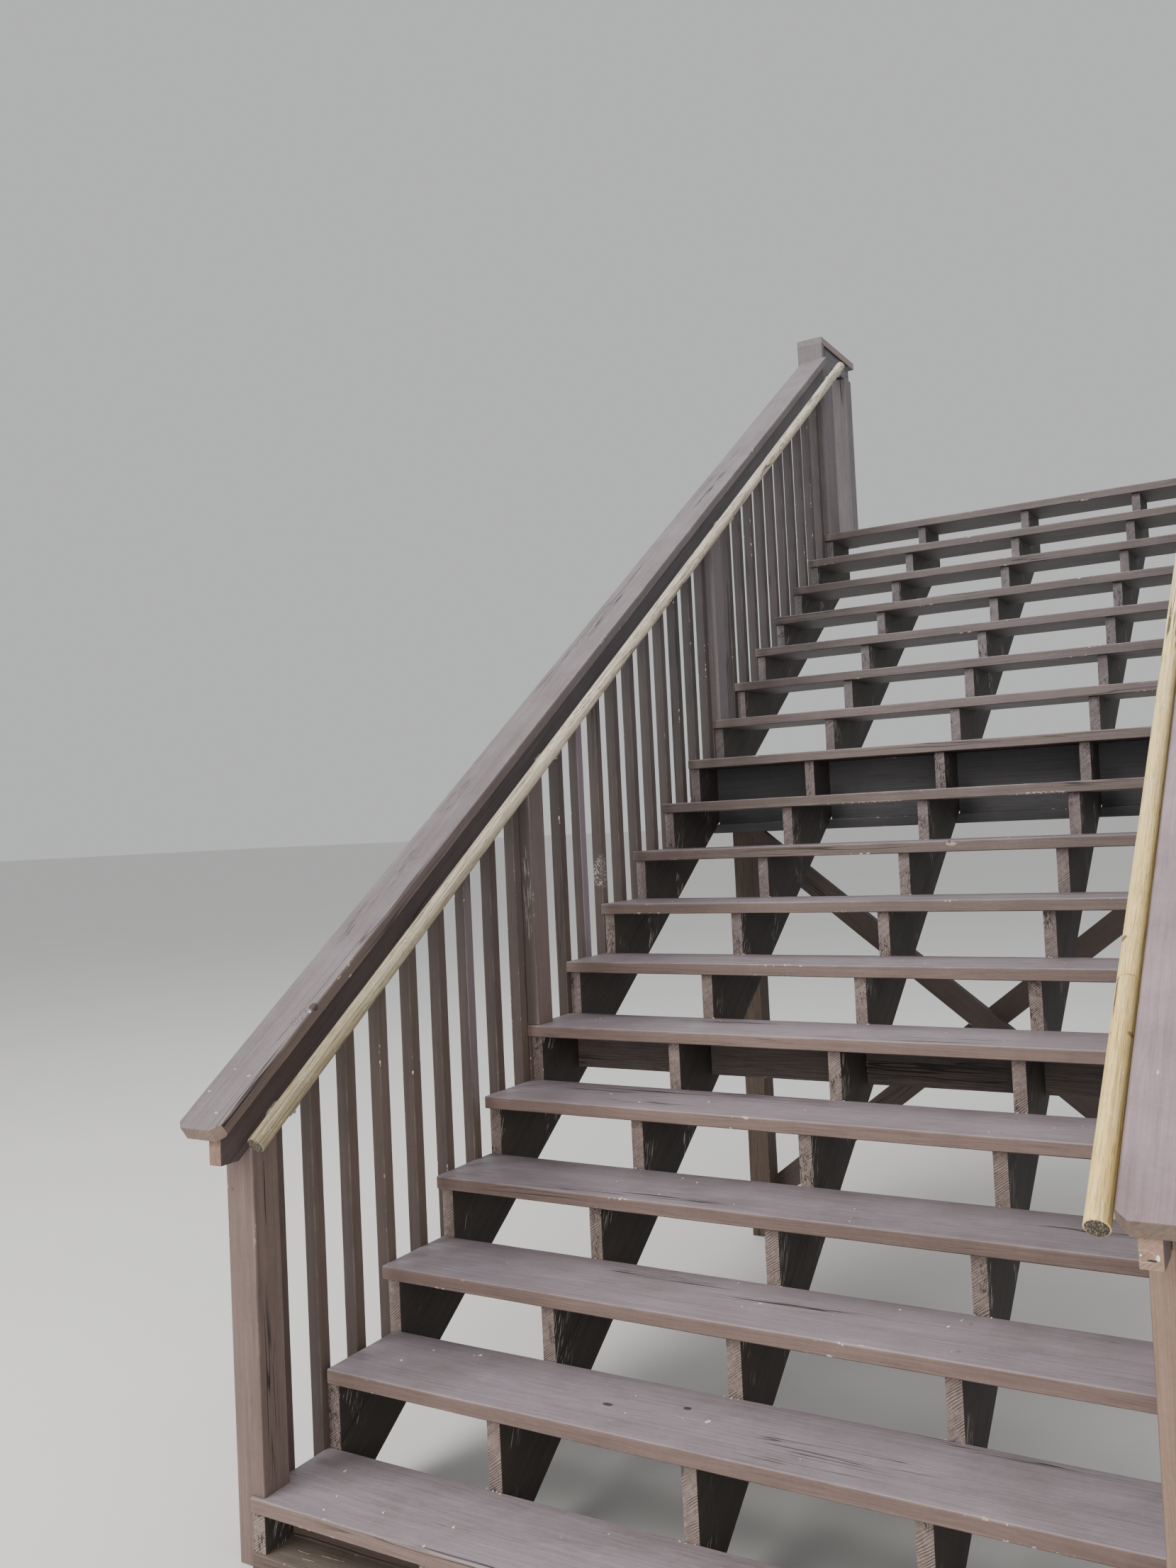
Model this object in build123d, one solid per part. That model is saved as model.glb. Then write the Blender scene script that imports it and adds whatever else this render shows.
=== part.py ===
from build123d import *
import math
import os

# Outdoor wooden deck stairs: five notched stringers carry open treads between two guard rails.
# Millimetres. X runs along the treads, Y runs up the flight and Z is up from the ground.
# The origin is the centre of the sill's underside, below the lowest tread.

# Flight
TREAD_COUNT = 18
RISE_HEIGHT = 180.0
GOING_LENGTH = 259.0
FIRST_TREAD_HEIGHT = 170.0
SECOND_TREAD_HEIGHT = 380.0
FLIGHT_WIDTH = 2084.0

# Timber sections
PLANK_THICKNESS = 38.0
TREAD_DEPTH = 281.0
STRINGER_DEPTH = 286.0
SILL_DEPTH = 286.0
POST_WIDTH = 89.0
BALUSTER_WIDTH = 38.0
CAP_WIDTH = 140.0
SUBRAIL_DEPTH = 89.0
LOW_BLOCK_DEPTH = 140.0
HIGH_BLOCK_DEPTH = 235.0
BRACE_DEPTH = 89.0
HANDRAIL_DIAMETER = 46.0
TREAD_EDGE_RADIUS = 5.0
CAP_EDGE_RADIUS = 8.0
POST_EDGE_CHAMFER = 3.0

# Treads and stringers
NOSING_LENGTH = 25.0
FIRST_NOSING_LENGTH = 8.0
STRINGER_SPACING = 520.0
SHORT_TREAD = 2
SHORT_TREAD_INSET = 22.0

# Cross members
KICKER_SETBACK = 102.0
LOW_BLOCK_TREAD = 6
LOW_BLOCK_SETBACK = 250.0
HIGH_BLOCK_TREAD = 11
HIGH_BLOCK_SETBACK = 200.0
PLATE_OVERHANG = 26.0
BENT_POST_INSET = 109.0
FALLING_BRACE_TOP_GAP = 15.0
FALLING_BRACE_FOOT_HEIGHT = 302.0
CLIMBING_BRACE_TOP_GAP = 97.0
CLIMBING_BRACE_FOOT_HEIGHT = 118.0

# Raked guards; heights are plumb above a line that starts level with the sill's front edge
CAP_TOP_HEIGHT = 1160.0
LEFT_CAP_CENTRE_OUT = 10.0
RIGHT_CAP_CENTRE_OUT = 0.0
LEFT_CAP_OVERRUN = 100.0
RIGHT_CAP_OVERRUN = 83.0
CAP_CORNER_CLIP = 22.0
LEFT_SUBRAIL_OVERRUN = 88.0
RIGHT_SUBRAIL_OVERRUN = 80.0
LEFT_SUBRAIL_HEEL_LENGTH = 57.0
RIGHT_SUBRAIL_HEEL_LENGTH = 80.0
NEWEL_OUT = 51.0
NEWEL_SETBACK = 10.0
NEWEL_TREADS = (1, 6, 12)
BALUSTER_PITCH = 142.5
BALUSTER_GAP_ABOVE_NEWEL = 20.0
BALUSTER_GAP_BELOW_NEWEL = 8.0
BALUSTER_FOOT_DROP = 230.0
BALUSTER_GROUND_GAP = 15.0

# Level guards over the top tread
LEVEL_CAP_HEIGHT = 1082.0
LEVEL_CAP_LENGTH = 525.0
TOP_NEWEL_OUT = 100.0
TOP_NEWEL_STRIP = 44.0
TOP_NEWEL_BOARD = 140.0
TOP_NEWEL_GROOVE = 4.0
LEVEL_SUBRAIL_IN = 28.0
RETURN_POST_SETBACK = 370.0
RETURN_POST_OUT = 101.0

# Handrails and their brackets
HANDRAIL_BELOW_CAP = 100.0
HANDRAIL_IN = 108.0
LEFT_HANDRAIL_OVERRUN = 45.0
RIGHT_HANDRAIL_OVERRUN = 22.0
HANDRAIL_RUN = 4500.0
BRACKET_PLACES = (67.0, 1355.0, 2888.0, 4439.0)
BRACKET_ROD_DIAMETER = 10.0
BRACKET_PLATE_LENGTH = 50.0
BRACKET_PLATE_DEPTH = 20.0
BRACKET_PLATE_THICKNESS = 3.0
BRACKET_SADDLE_LENGTH = 40.0

# Worked out from the above
PITCH = math.atan2(RISE_HEIGHT, GOING_LENGTH)
SLOPE = RISE_HEIGHT / GOING_LENGTH
UP_THE_RAKE = Vector(0, math.cos(PITCH), math.sin(PITCH))
BELOW_THE_RAKE = Vector(0, math.sin(PITCH), -math.cos(PITCH))
RAKE_AXIS = Axis((0, 0, 0), UP_THE_RAKE)
FRONT = -SILL_DEPTH / 2
HALF_WIDTH = FLIGHT_WIDTH / 2
FLIGHT_END = FRONT + (TREAD_COUNT - 1) * GOING_LENGTH + TREAD_DEPTH
CAP_UNDER_HEIGHT = CAP_TOP_HEIGHT - PLANK_THICKNESS / math.cos(PITCH)
SUBRAIL_UNDER_HEIGHT = CAP_UNDER_HEIGHT - SUBRAIL_DEPTH / math.cos(PITCH)
HANDRAIL_HEIGHT = CAP_TOP_HEIGHT - HANDRAIL_BELOW_CAP
STRINGER_PLACES = (
    -HALF_WIDTH + PLANK_THICKNESS / 2,
    -STRINGER_SPACING,
    0.0,
    STRINGER_SPACING,
    HALF_WIDTH - PLANK_THICKNESS / 2,
)
SIDES = {"left": -1, "right": 1}

os.makedirs("parts", exist_ok=True)


def tread_top(number):
    """Height of a tread's walking face."""
    if number == 1:
        return FIRST_TREAD_HEIGHT
    return SECOND_TREAD_HEIGHT + (number - 2) * RISE_HEIGHT


def tread_front(number):
    """Place of a tread's front edge along the run."""
    return FRONT + (number - 1) * GOING_LENGTH


def rake(height, y):
    """Height at a place along the run of a line that climbs with the flight."""
    return height + SLOPE * (y - FRONT)


def outer(side, distance):
    """Place across the flight, measured outward from a side's outer stringer face."""
    return side * (HALF_WIDTH + distance)


def by_side(side, left_value, right_value):
    """The value that belongs to one of the two guards, which were cut by hand and differ a little."""
    return left_value if side == SIDES["left"] else right_value


def slab(points, x_start, x_end):
    """Solid with a side outline of (y, z) points, between two places across the flight."""
    outline = make_face(Polyline(*points, close=True))
    return extrude(Plane.YZ.offset(min(x_start, x_end)) * outline, abs(x_end - x_start))


def board(x_start, x_end, y_front, y_back, z_low, z_high):
    """Square-cut piece of timber between six faces."""
    corners = [(y_front, z_low), (y_back, z_low), (y_back, z_high), (y_front, z_high)]
    return slab(corners, x_start, x_end)


def seat_line(y):
    """Height of the line through the stringers' upper corners."""
    first_corner = SECOND_TREAD_HEIGHT - RISE_HEIGHT - PLANK_THICKNESS
    return rake(first_corner - SLOPE * NOSING_LENGTH, y)


def stringer_bottom(y):
    """Height of a stringer's lower edge."""
    return seat_line(y) - STRINGER_DEPTH / math.cos(PITCH)


HIGH_BLOCK_FRONT = tread_front(HIGH_BLOCK_TREAD) + HIGH_BLOCK_SETBACK
HIGH_BLOCK_TOP = tread_top(HIGH_BLOCK_TREAD) - PLANK_THICKNESS
PLATE_TOP = HIGH_BLOCK_TOP - HIGH_BLOCK_DEPTH
PLATE_UNDER = PLATE_TOP - PLANK_THICKNESS
PLATE_FRONT = HIGH_BLOCK_FRONT - PLATE_OVERHANG
PLATE_BACK = PLATE_FRONT + POST_WIDTH
TOP_NEWEL_FRONT = tread_front(TREAD_COUNT) + NEWEL_SETBACK
LEVEL_CAP_UNDER = tread_top(TREAD_COUNT) + LEVEL_CAP_HEIGHT - PLANK_THICKNESS
LEVEL_SUBRAIL_UNDER = LEVEL_CAP_UNDER - SUBRAIL_DEPTH
RETURN_POST_FRONT = TOP_NEWEL_FRONT + RETURN_POST_SETBACK


def stringer(centre):
    """Notched plank with level seats and plumb riser cuts, let down onto the sill and the plate."""
    seat = tread_top(1) - PLANK_THICKNESS
    first_cut = FRONT + FIRST_NOSING_LENGTH
    points = [(first_cut, PLANK_THICKNESS), (first_cut, seat)]
    for number in range(2, TREAD_COUNT + 1):
        riser_cut = tread_front(number) + NOSING_LENGTH
        points.append((riser_cut, seat))
        seat = tread_top(number) - PLANK_THICKNESS
        points.append((riser_cut, seat))
    points.append((FLIGHT_END, seat))
    points.append((FLIGHT_END, stringer_bottom(FLIGHT_END)))
    points.append((PLATE_FRONT + (PLATE_TOP - stringer_bottom(PLATE_FRONT)) / SLOPE, PLATE_TOP))
    points.append((PLATE_FRONT, PLATE_TOP))
    points.append((PLATE_FRONT, stringer_bottom(PLATE_FRONT)))
    points.append((FRONT + (PLANK_THICKNESS - stringer_bottom(FRONT)) / SLOPE, PLANK_THICKNESS))
    return slab(points, centre - PLANK_THICKNESS / 2, centre + PLANK_THICKNESS / 2)


def tread(number):
    """Plank tread with eased long edges; one of them is cut short at its left end."""
    front = tread_front(number)
    top = tread_top(number)
    left_end = -HALF_WIDTH
    if number == SHORT_TREAD:
        left_end += SHORT_TREAD_INSET
    plank = board(left_end, HALF_WIDTH, front, front + TREAD_DEPTH, top - PLANK_THICKNESS, top)
    return fillet(plank.edges().filter_by(Axis.X), TREAD_EDGE_RADIUS)


def blocking(front, bottom, top):
    """Row of boards on edge, one in each bay between the stringers."""
    pieces = []
    for left, right in zip(STRINGER_PLACES, STRINGER_PLACES[1:]):
        x_start = left + PLANK_THICKNESS / 2
        x_end = right - PLANK_THICKNESS / 2
        pieces.append(board(x_start, x_end, front, front + PLANK_THICKNESS, bottom, top))
    return Compound(children=pieces)


def bent_posts():
    """Two posts that carry the plate under the flight's upper half."""
    pieces = []
    for side in SIDES.values():
        near = outer(side, -BENT_POST_INSET)
        far = outer(side, -BENT_POST_INSET - POST_WIDTH)
        pieces.append(board(near, far, PLATE_FRONT, PLATE_BACK, 0, PLATE_UNDER))
    return Compound(children=pieces)


def brace(x_high, z_high, x_foot, z_foot, front):
    """Diagonal between two centre points, with plumb ends, cut level under the plate."""
    half_depth = BRACE_DEPTH / 2 * math.hypot(1, (z_high - z_foot) / (x_high - x_foot))
    corners = [
        (x_foot, z_foot - half_depth),
        (x_high, z_high - half_depth),
        (x_high, z_high + half_depth),
        (x_foot, z_foot + half_depth),
    ]
    outline = make_face(Polyline(*corners, close=True))
    piece = extrude(Plane.XZ.offset(-front) * outline, -PLANK_THICKNESS)
    spare = 2 * BRACE_DEPTH
    above = board(x_high - spare, x_high + spare, PLATE_FRONT, PLATE_BACK, PLATE_UNDER, PLATE_UNDER + spare)
    return piece - above


def bent_braces():
    """Crossed diagonals: one between the posts, one across their back faces."""
    inner_left = outer(SIDES["left"], -BENT_POST_INSET - POST_WIDTH)
    inner_right = outer(SIDES["right"], -BENT_POST_INSET - POST_WIDTH)
    outer_left = outer(SIDES["left"], -BENT_POST_INSET)
    outer_right = outer(SIDES["right"], -BENT_POST_INSET)
    falling_top = PLATE_UNDER - FALLING_BRACE_TOP_GAP
    climbing_top = PLATE_UNDER - CLIMBING_BRACE_TOP_GAP
    falling = brace(inner_left, falling_top, inner_right, FALLING_BRACE_FOOT_HEIGHT, PLATE_FRONT)
    climbing = brace(outer_right, climbing_top, outer_left, CLIMBING_BRACE_FOOT_HEIGHT, PLATE_BACK)
    return Compound(children=[falling, climbing])


def newel(side, tread_number):
    """Post notched over the stringer at its foot and over the sub-rail at its head."""
    front = tread_front(tread_number) + NEWEL_SETBACK
    back = front + POST_WIDTH
    foot = 0.0 if tread_number == 1 else stringer_bottom(front)
    outside = [
        (front, foot),
        (back, foot),
        (back, rake(CAP_UNDER_HEIGHT, back)),
        (front, rake(CAP_UNDER_HEIGHT, front)),
    ]
    inside = [
        (front, tread_top(tread_number)),
        (back, tread_top(tread_number)),
        (back, rake(SUBRAIL_UNDER_HEIGHT, back)),
        (front, rake(SUBRAIL_UNDER_HEIGHT, front)),
    ]
    post = slab(outside, outer(side, 0), outer(side, NEWEL_OUT))
    post += slab(inside, outer(side, 0), outer(side, NEWEL_OUT - POST_WIDTH))
    return ease_corners(post)


def ease_corners(post):
    """Small chamfers on a post's plumb outer corners."""
    box = post.bounding_box()
    corners = []
    for edge in post.edges().filter_by(Axis.Z):
        x = edge.center().X
        if min(x - box.min.X, box.max.X - x) < POST_EDGE_CHAMFER / 2:
            corners.append(edge)
    return chamfer(corners, POST_EDGE_CHAMFER)


def top_newel(side):
    """Broad post at the head of the rake, with a notched board on its inner face and a groove between."""
    front = TOP_NEWEL_FRONT
    floor = tread_top(TREAD_COUNT)
    foot = stringer_bottom(front)
    post = board(outer(side, 0), outer(side, TOP_NEWEL_OUT), front, front + POST_WIDTH, foot, LEVEL_CAP_UNDER)
    inner = [
        (front, floor),
        (front + TOP_NEWEL_BOARD, floor),
        (front + TOP_NEWEL_BOARD, LEVEL_SUBRAIL_UNDER),
        (front + TOP_NEWEL_STRIP, LEVEL_SUBRAIL_UNDER),
        (front + TOP_NEWEL_STRIP, LEVEL_CAP_UNDER),
        (front, LEVEL_CAP_UNDER),
    ]
    post += slab(inner, outer(side, 0), outer(side, -PLANK_THICKNESS))
    half = TOP_NEWEL_GROOVE / 2
    middle = outer(side, 0)
    outline = make_face(Polyline((middle - half, front), (middle + half, front), (middle, front + half), close=True))
    return post - extrude(Pos(0, 0, floor) * outline, LEVEL_CAP_UNDER - floor)


def return_post(side):
    """Post at the far end of the level guard; its foot is level with the deck's floor."""
    front = RETURN_POST_FRONT
    back = front + POST_WIDTH
    floor = tread_top(TREAD_COUNT)
    subrail_outside = PLANK_THICKNESS - LEVEL_SUBRAIL_IN
    lower = board(
        outer(side, NEWEL_OUT), outer(side, NEWEL_OUT - POST_WIDTH), front, back, floor, LEVEL_SUBRAIL_UNDER
    )
    upper = board(
        outer(side, NEWEL_OUT), outer(side, subrail_outside), front, back, LEVEL_SUBRAIL_UNDER, LEVEL_CAP_UNDER
    )
    return lower + upper


def raked_plane(side, distance, height, y):
    """Plane on the rake: local X across the flight, local Y up the slope."""
    origin = (outer(side, distance), y, rake(height, y))
    return Plane(origin=origin, x_dir=(1, 0, 0), z_dir=-BELOW_THE_RAKE)


def raked_cap(side):
    """Flat cap on the rake with clipped lower corners and a plumb cut at the top newel."""
    start = FRONT - by_side(side, LEFT_CAP_OVERRUN, RIGHT_CAP_OVERRUN)
    centre_out = by_side(side, LEFT_CAP_CENTRE_OUT, RIGHT_CAP_CENTRE_OUT)
    half = CAP_WIDTH / 2
    spare = PLANK_THICKNESS * math.tan(PITCH)
    length = (TOP_NEWEL_FRONT - start) / math.cos(PITCH) + spare
    points = [
        (-half + CAP_CORNER_CLIP, 0),
        (half - CAP_CORNER_CLIP, 0),
        (half, CAP_CORNER_CLIP),
        (half, length),
        (-half, length),
        (-half, CAP_CORNER_CLIP),
    ]
    plane = raked_plane(side, centre_out, CAP_UNDER_HEIGHT, start)
    cap = extrude(plane * make_face(Polyline(*points, close=True)), PLANK_THICKNESS)
    cap = fillet(cap.edges().filter_by(RAKE_AXIS), CAP_EDGE_RADIUS)
    beyond = Pos(outer(side, 0), TOP_NEWEL_FRONT + CAP_WIDTH, rake(CAP_TOP_HEIGHT, TOP_NEWEL_FRONT))
    return cap - beyond * Box(4 * CAP_WIDTH, 2 * CAP_WIDTH, 4 * CAP_WIDTH)


def level_cap(side):
    """Flat cap over the top newel that runs back to the return post and past it."""
    outside = TOP_NEWEL_OUT + (CAP_WIDTH - TOP_NEWEL_OUT - PLANK_THICKNESS) / 2
    front = TOP_NEWEL_FRONT
    cap = board(
        outer(side, outside),
        outer(side, outside - CAP_WIDTH),
        front,
        front + LEVEL_CAP_LENGTH,
        LEVEL_CAP_UNDER,
        LEVEL_CAP_UNDER + PLANK_THICKNESS,
    )
    return fillet(cap.edges().filter_by(Axis.Y), POST_EDGE_CHAMFER)


def raked_subrail(side):
    """Board on edge under the cap, with a plumb lower end and a level heel cut."""
    start = FRONT - by_side(side, LEFT_SUBRAIL_OVERRUN, RIGHT_SUBRAIL_OVERRUN)
    heel = start + by_side(side, LEFT_SUBRAIL_HEEL_LENGTH, RIGHT_SUBRAIL_HEEL_LENGTH)
    end = TOP_NEWEL_FRONT
    points = [
        (start, rake(SUBRAIL_UNDER_HEIGHT, heel)),
        (heel, rake(SUBRAIL_UNDER_HEIGHT, heel)),
        (end, rake(SUBRAIL_UNDER_HEIGHT, end)),
        (end, rake(CAP_UNDER_HEIGHT, end)),
        (start, rake(CAP_UNDER_HEIGHT, start)),
    ]
    return slab(points, outer(side, 0), outer(side, -PLANK_THICKNESS))


def level_subrail(side):
    """Board on edge under the level cap, from the top newel to the return post's back."""
    return board(
        outer(side, PLANK_THICKNESS - LEVEL_SUBRAIL_IN),
        outer(side, -LEVEL_SUBRAIL_IN),
        TOP_NEWEL_FRONT + POST_WIDTH,
        RETURN_POST_FRONT + POST_WIDTH,
        LEVEL_SUBRAIL_UNDER,
        LEVEL_CAP_UNDER,
    )


def baluster_places():
    """Front faces of the balusters, evenly shared between each pair of newels."""
    fronts = [tread_front(number) + NEWEL_SETBACK for number in NEWEL_TREADS] + [TOP_NEWEL_FRONT]
    places = []
    for low, high in zip(fronts, fronts[1:]):
        first = low + POST_WIDTH + BALUSTER_GAP_ABOVE_NEWEL
        last = high - BALUSTER_GAP_BELOW_NEWEL - BALUSTER_WIDTH
        count = round((last - first) / BALUSTER_PITCH)
        step = (last - first) / count
        places += [first + step * index for index in range(count + 1)]
    return places


def balusters(side):
    """Square pickets nailed to the outer faces of the stringer and the sub-rail."""
    pieces = []
    for front in baluster_places():
        back = front + BALUSTER_WIDTH
        foot = max(seat_line(front) - BALUSTER_FOOT_DROP, BALUSTER_GROUND_GAP)
        points = [
            (front, foot),
            (back, foot),
            (back, rake(CAP_UNDER_HEIGHT, back)),
            (front, rake(CAP_UNDER_HEIGHT, front)),
        ]
        picket = slab(points, outer(side, 0), outer(side, BALUSTER_WIDTH))
        pieces.append(chamfer(picket.edges().filter_by(Axis.Z), POST_EDGE_CHAMFER / 2))
    return Compound(children=pieces)


def handrail(side):
    """Round rail on the walking side, cut square to its length."""
    overrun = by_side(side, LEFT_HANDRAIL_OVERRUN, RIGHT_HANDRAIL_OVERRUN)
    start = FRONT - overrun
    x = outer(side, -HANDRAIL_IN)
    plane = Plane(origin=(x, start, rake(HANDRAIL_HEIGHT, start)), z_dir=UP_THE_RAKE)
    return extrude(plane * Circle(HANDRAIL_DIAMETER / 2), (HANDRAIL_RUN + overrun) / math.cos(PITCH))


def bracket(side, place):
    """Plate on the sub-rail, with a rod that reaches under the handrail and a curved saddle on it."""
    y = FRONT + place
    radius = HANDRAIL_DIAMETER / 2
    metal = BRACKET_PLATE_THICKNESS
    rail_centre = Vector(outer(side, -HANDRAIL_IN), y, rake(HANDRAIL_HEIGHT, y))
    rod_centre = rail_centre + BELOW_THE_RAKE * (radius + metal * 2 / 3 + BRACKET_ROD_DIAMETER / 2)
    plate_centre = Vector(outer(side, -PLANK_THICKNESS), rod_centre.Y, rod_centre.Z)
    plate_plane = Plane(origin=plate_centre, x_dir=UP_THE_RAKE, z_dir=(-side, 0, 0))
    plate = extrude(plate_plane * SlotOverall(BRACKET_PLATE_LENGTH, BRACKET_PLATE_DEPTH), metal)
    reach = HANDRAIL_IN - PLANK_THICKNESS + BRACKET_ROD_DIAMETER / 2
    rod = extrude(plate_plane * Circle(BRACKET_ROD_DIAMETER / 2), reach)
    saddle_start = rail_centre - UP_THE_RAKE * (BRACKET_SADDLE_LENGTH / 2)
    saddle_plane = Plane(origin=saddle_start, x_dir=(1, 0, 0), z_dir=UP_THE_RAKE)
    saddle = extrude(saddle_plane * (Circle(radius + metal) - Circle(radius)), BRACKET_SADDLE_LENGTH)
    keep_plane = Plane(origin=rail_centre + BELOW_THE_RAKE * radius, x_dir=(1, 0, 0), z_dir=UP_THE_RAKE)
    saddle &= keep_plane.location * Box(HANDRAIL_DIAMETER * 0.6, HANDRAIL_DIAMETER * 0.4, BRACKET_SADDLE_LENGTH)
    return plate + rod + saddle


def build():
    """Every node of the stairs by name."""
    nodes = {}
    for number in range(1, TREAD_COUNT + 1):
        nodes[f"tread_{number:02d}"] = tread(number)
    for number, centre in enumerate(STRINGER_PLACES, start=1):
        nodes[f"stringer_{number}"] = stringer(centre)
    low_front = tread_front(LOW_BLOCK_TREAD) + LOW_BLOCK_SETBACK
    low_top = tread_top(LOW_BLOCK_TREAD) - PLANK_THICKNESS
    first_seat = tread_top(1) - PLANK_THICKNESS
    nodes["ground_sill"] = board(-HALF_WIDTH, HALF_WIDTH, FRONT, FRONT + SILL_DEPTH, 0, PLANK_THICKNESS)
    nodes["kicker_boards"] = blocking(FRONT + KICKER_SETBACK, PLANK_THICKNESS, first_seat)
    nodes["lower_blocking"] = blocking(low_front, low_top - LOW_BLOCK_DEPTH, low_top)
    nodes["upper_blocking"] = blocking(HIGH_BLOCK_FRONT, PLATE_TOP, HIGH_BLOCK_TOP)
    nodes["bent_plate"] = board(-HALF_WIDTH, HALF_WIDTH, PLATE_FRONT, PLATE_BACK, PLATE_UNDER, PLATE_TOP)
    nodes["bent_posts"] = bent_posts()
    nodes["bent_braces"] = bent_braces()
    for name, side in SIDES.items():
        nodes[f"{name}_bottom_newel"] = newel(side, NEWEL_TREADS[0])
        nodes[f"{name}_middle_newels"] = Compound(children=[newel(side, number) for number in NEWEL_TREADS[1:]])
        nodes[f"{name}_top_newels"] = Compound(children=[top_newel(side), return_post(side)])
        nodes[f"{name}_balusters"] = balusters(side)
        nodes[f"{name}_subrail"] = Compound(children=[raked_subrail(side), level_subrail(side)])
        nodes[f"{name}_cap_rail"] = Compound(children=[raked_cap(side), level_cap(side)])
        nodes[f"{name}_handrail"] = handrail(side)
        nodes[f"{name}_handrail_brackets"] = Compound(children=[bracket(side, place) for place in BRACKET_PLACES])
    return nodes


for node_name, shape in build().items():
    export_step(shape, f"parts/{node_name}.step")
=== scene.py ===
"""Looks of a flight of outdoor wooden stairs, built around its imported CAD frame.

Metres, in the frame of the CAD: X runs along the treads, Y up the flight and Z up.
Every board is cut again from its CAD node as a finer piece with eased arrises, a slight wander and
attributes that tell the paint which way the fibres run. Nails, screws, flakes and straws are added.
"""

import logging
import math
import random
from dataclasses import dataclass, replace
from enum import Enum
from typing import Callable, Iterable, Sequence

import bmesh
import bpy
from mathutils import Matrix, Vector, noise

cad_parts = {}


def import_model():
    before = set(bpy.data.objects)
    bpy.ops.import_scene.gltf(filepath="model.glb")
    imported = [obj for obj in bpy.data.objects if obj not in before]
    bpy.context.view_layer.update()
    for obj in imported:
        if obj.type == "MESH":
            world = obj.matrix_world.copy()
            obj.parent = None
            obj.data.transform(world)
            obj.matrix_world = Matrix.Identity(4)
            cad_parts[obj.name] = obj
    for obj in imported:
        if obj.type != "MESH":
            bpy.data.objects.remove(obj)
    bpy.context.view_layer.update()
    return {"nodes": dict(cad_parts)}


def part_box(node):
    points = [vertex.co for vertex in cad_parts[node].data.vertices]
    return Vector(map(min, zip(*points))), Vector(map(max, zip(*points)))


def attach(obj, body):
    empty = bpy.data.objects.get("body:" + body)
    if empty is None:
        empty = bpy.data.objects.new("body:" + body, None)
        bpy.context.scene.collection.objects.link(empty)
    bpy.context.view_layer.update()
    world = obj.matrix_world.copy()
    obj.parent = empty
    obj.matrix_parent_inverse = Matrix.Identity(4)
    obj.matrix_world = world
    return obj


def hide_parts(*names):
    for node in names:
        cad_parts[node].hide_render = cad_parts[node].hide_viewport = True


log = logging.getLogger("stairs")

Colour = tuple[float, float, float]
Triple = tuple[float, float, float]
Layout = tuple[tuple[float, float], ...]
Mesh = bmesh.types.BMesh
Vert = bmesh.types.BMVert
Face = bmesh.types.BMFace
Piece = bpy.types.Object
Material = bpy.types.Material

RISE = 0.180
GOING = 0.259
FIRST_TREAD_TOP = 0.170
SECOND_TREAD_TOP = 0.380
TREAD_COUNT = 18
FRONT = -0.143
HALF_WIDTH = 1.042
PLANK = 0.038
SLOPE = RISE / GOING
PITCH = math.atan(SLOPE)
UP = Vector((0, 0, 1))
SIDEWAYS = Vector((1, 0, 0))
UP_THE_RAKE = Vector((0, math.cos(PITCH), math.sin(PITCH)))
OUT_OF_THE_RAKE = Vector((0, -math.sin(PITCH), math.cos(PITCH)))
CAP_TOP = 1.160
STRINGER_PLACES = (-1.023, -0.520, 0.0, 0.520, 1.023)
SIDES = {"left": -1, "right": 1}


def tread_top(number: int) -> float:
    """Height of a tread's walking face."""
    return FIRST_TREAD_TOP if number == 1 else SECOND_TREAD_TOP + (number - 2) * RISE


def tread_front(number: int) -> float:
    """Place of a tread's front edge along the run."""
    return FRONT + (number - 1) * GOING


def rake(height: float, y: float) -> float:
    """Height at a place along the run of a line that climbs with the flight."""
    return height + SLOPE * (y - FRONT)


class Grain(Enum):
    """Which way a board's fibres run."""

    ACROSS = (1.0, 0.0, 0.0)
    BACK = (0.0, 1.0, 0.0)
    UPRIGHT = (0.0, 0.0, 1.0)
    RAKED = (0.0, math.cos(PITCH), math.sin(PITCH))
    FALLING = (0.776, 0.0, -0.631)
    CLIMBING = (0.785, 0.0, 0.620)

    @property
    def along(self) -> Vector:
        """Unit vector along the fibres."""
        return Vector(self.value).normalized()

    @property
    def wide(self) -> Vector:
        """Unit vector square to the fibres, across the board."""
        return Vector((0, 1, 0)) if abs(self.value[0]) > 0.5 else Vector((1, 0, 0))

    @property
    def thick(self) -> Vector:
        """Unit vector square to the other two."""
        return self.along.cross(self.wide).normalized()


def _math(operation: str, reflected: bool = False) -> "Callable[[Field, Field | float], Field]":
    """Makes the method behind an operator.

    Args:
        operation: what its Math node does.
        reflected: whether the field stands on the right of the operator.

    Returns:
        The method.
    """

    def method(self: "Field", other: "Field | float") -> "Field":
        """Adds the Math node."""
        return self.through(operation, *((other, self) if reflected else (self, other)))

    return method


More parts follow.
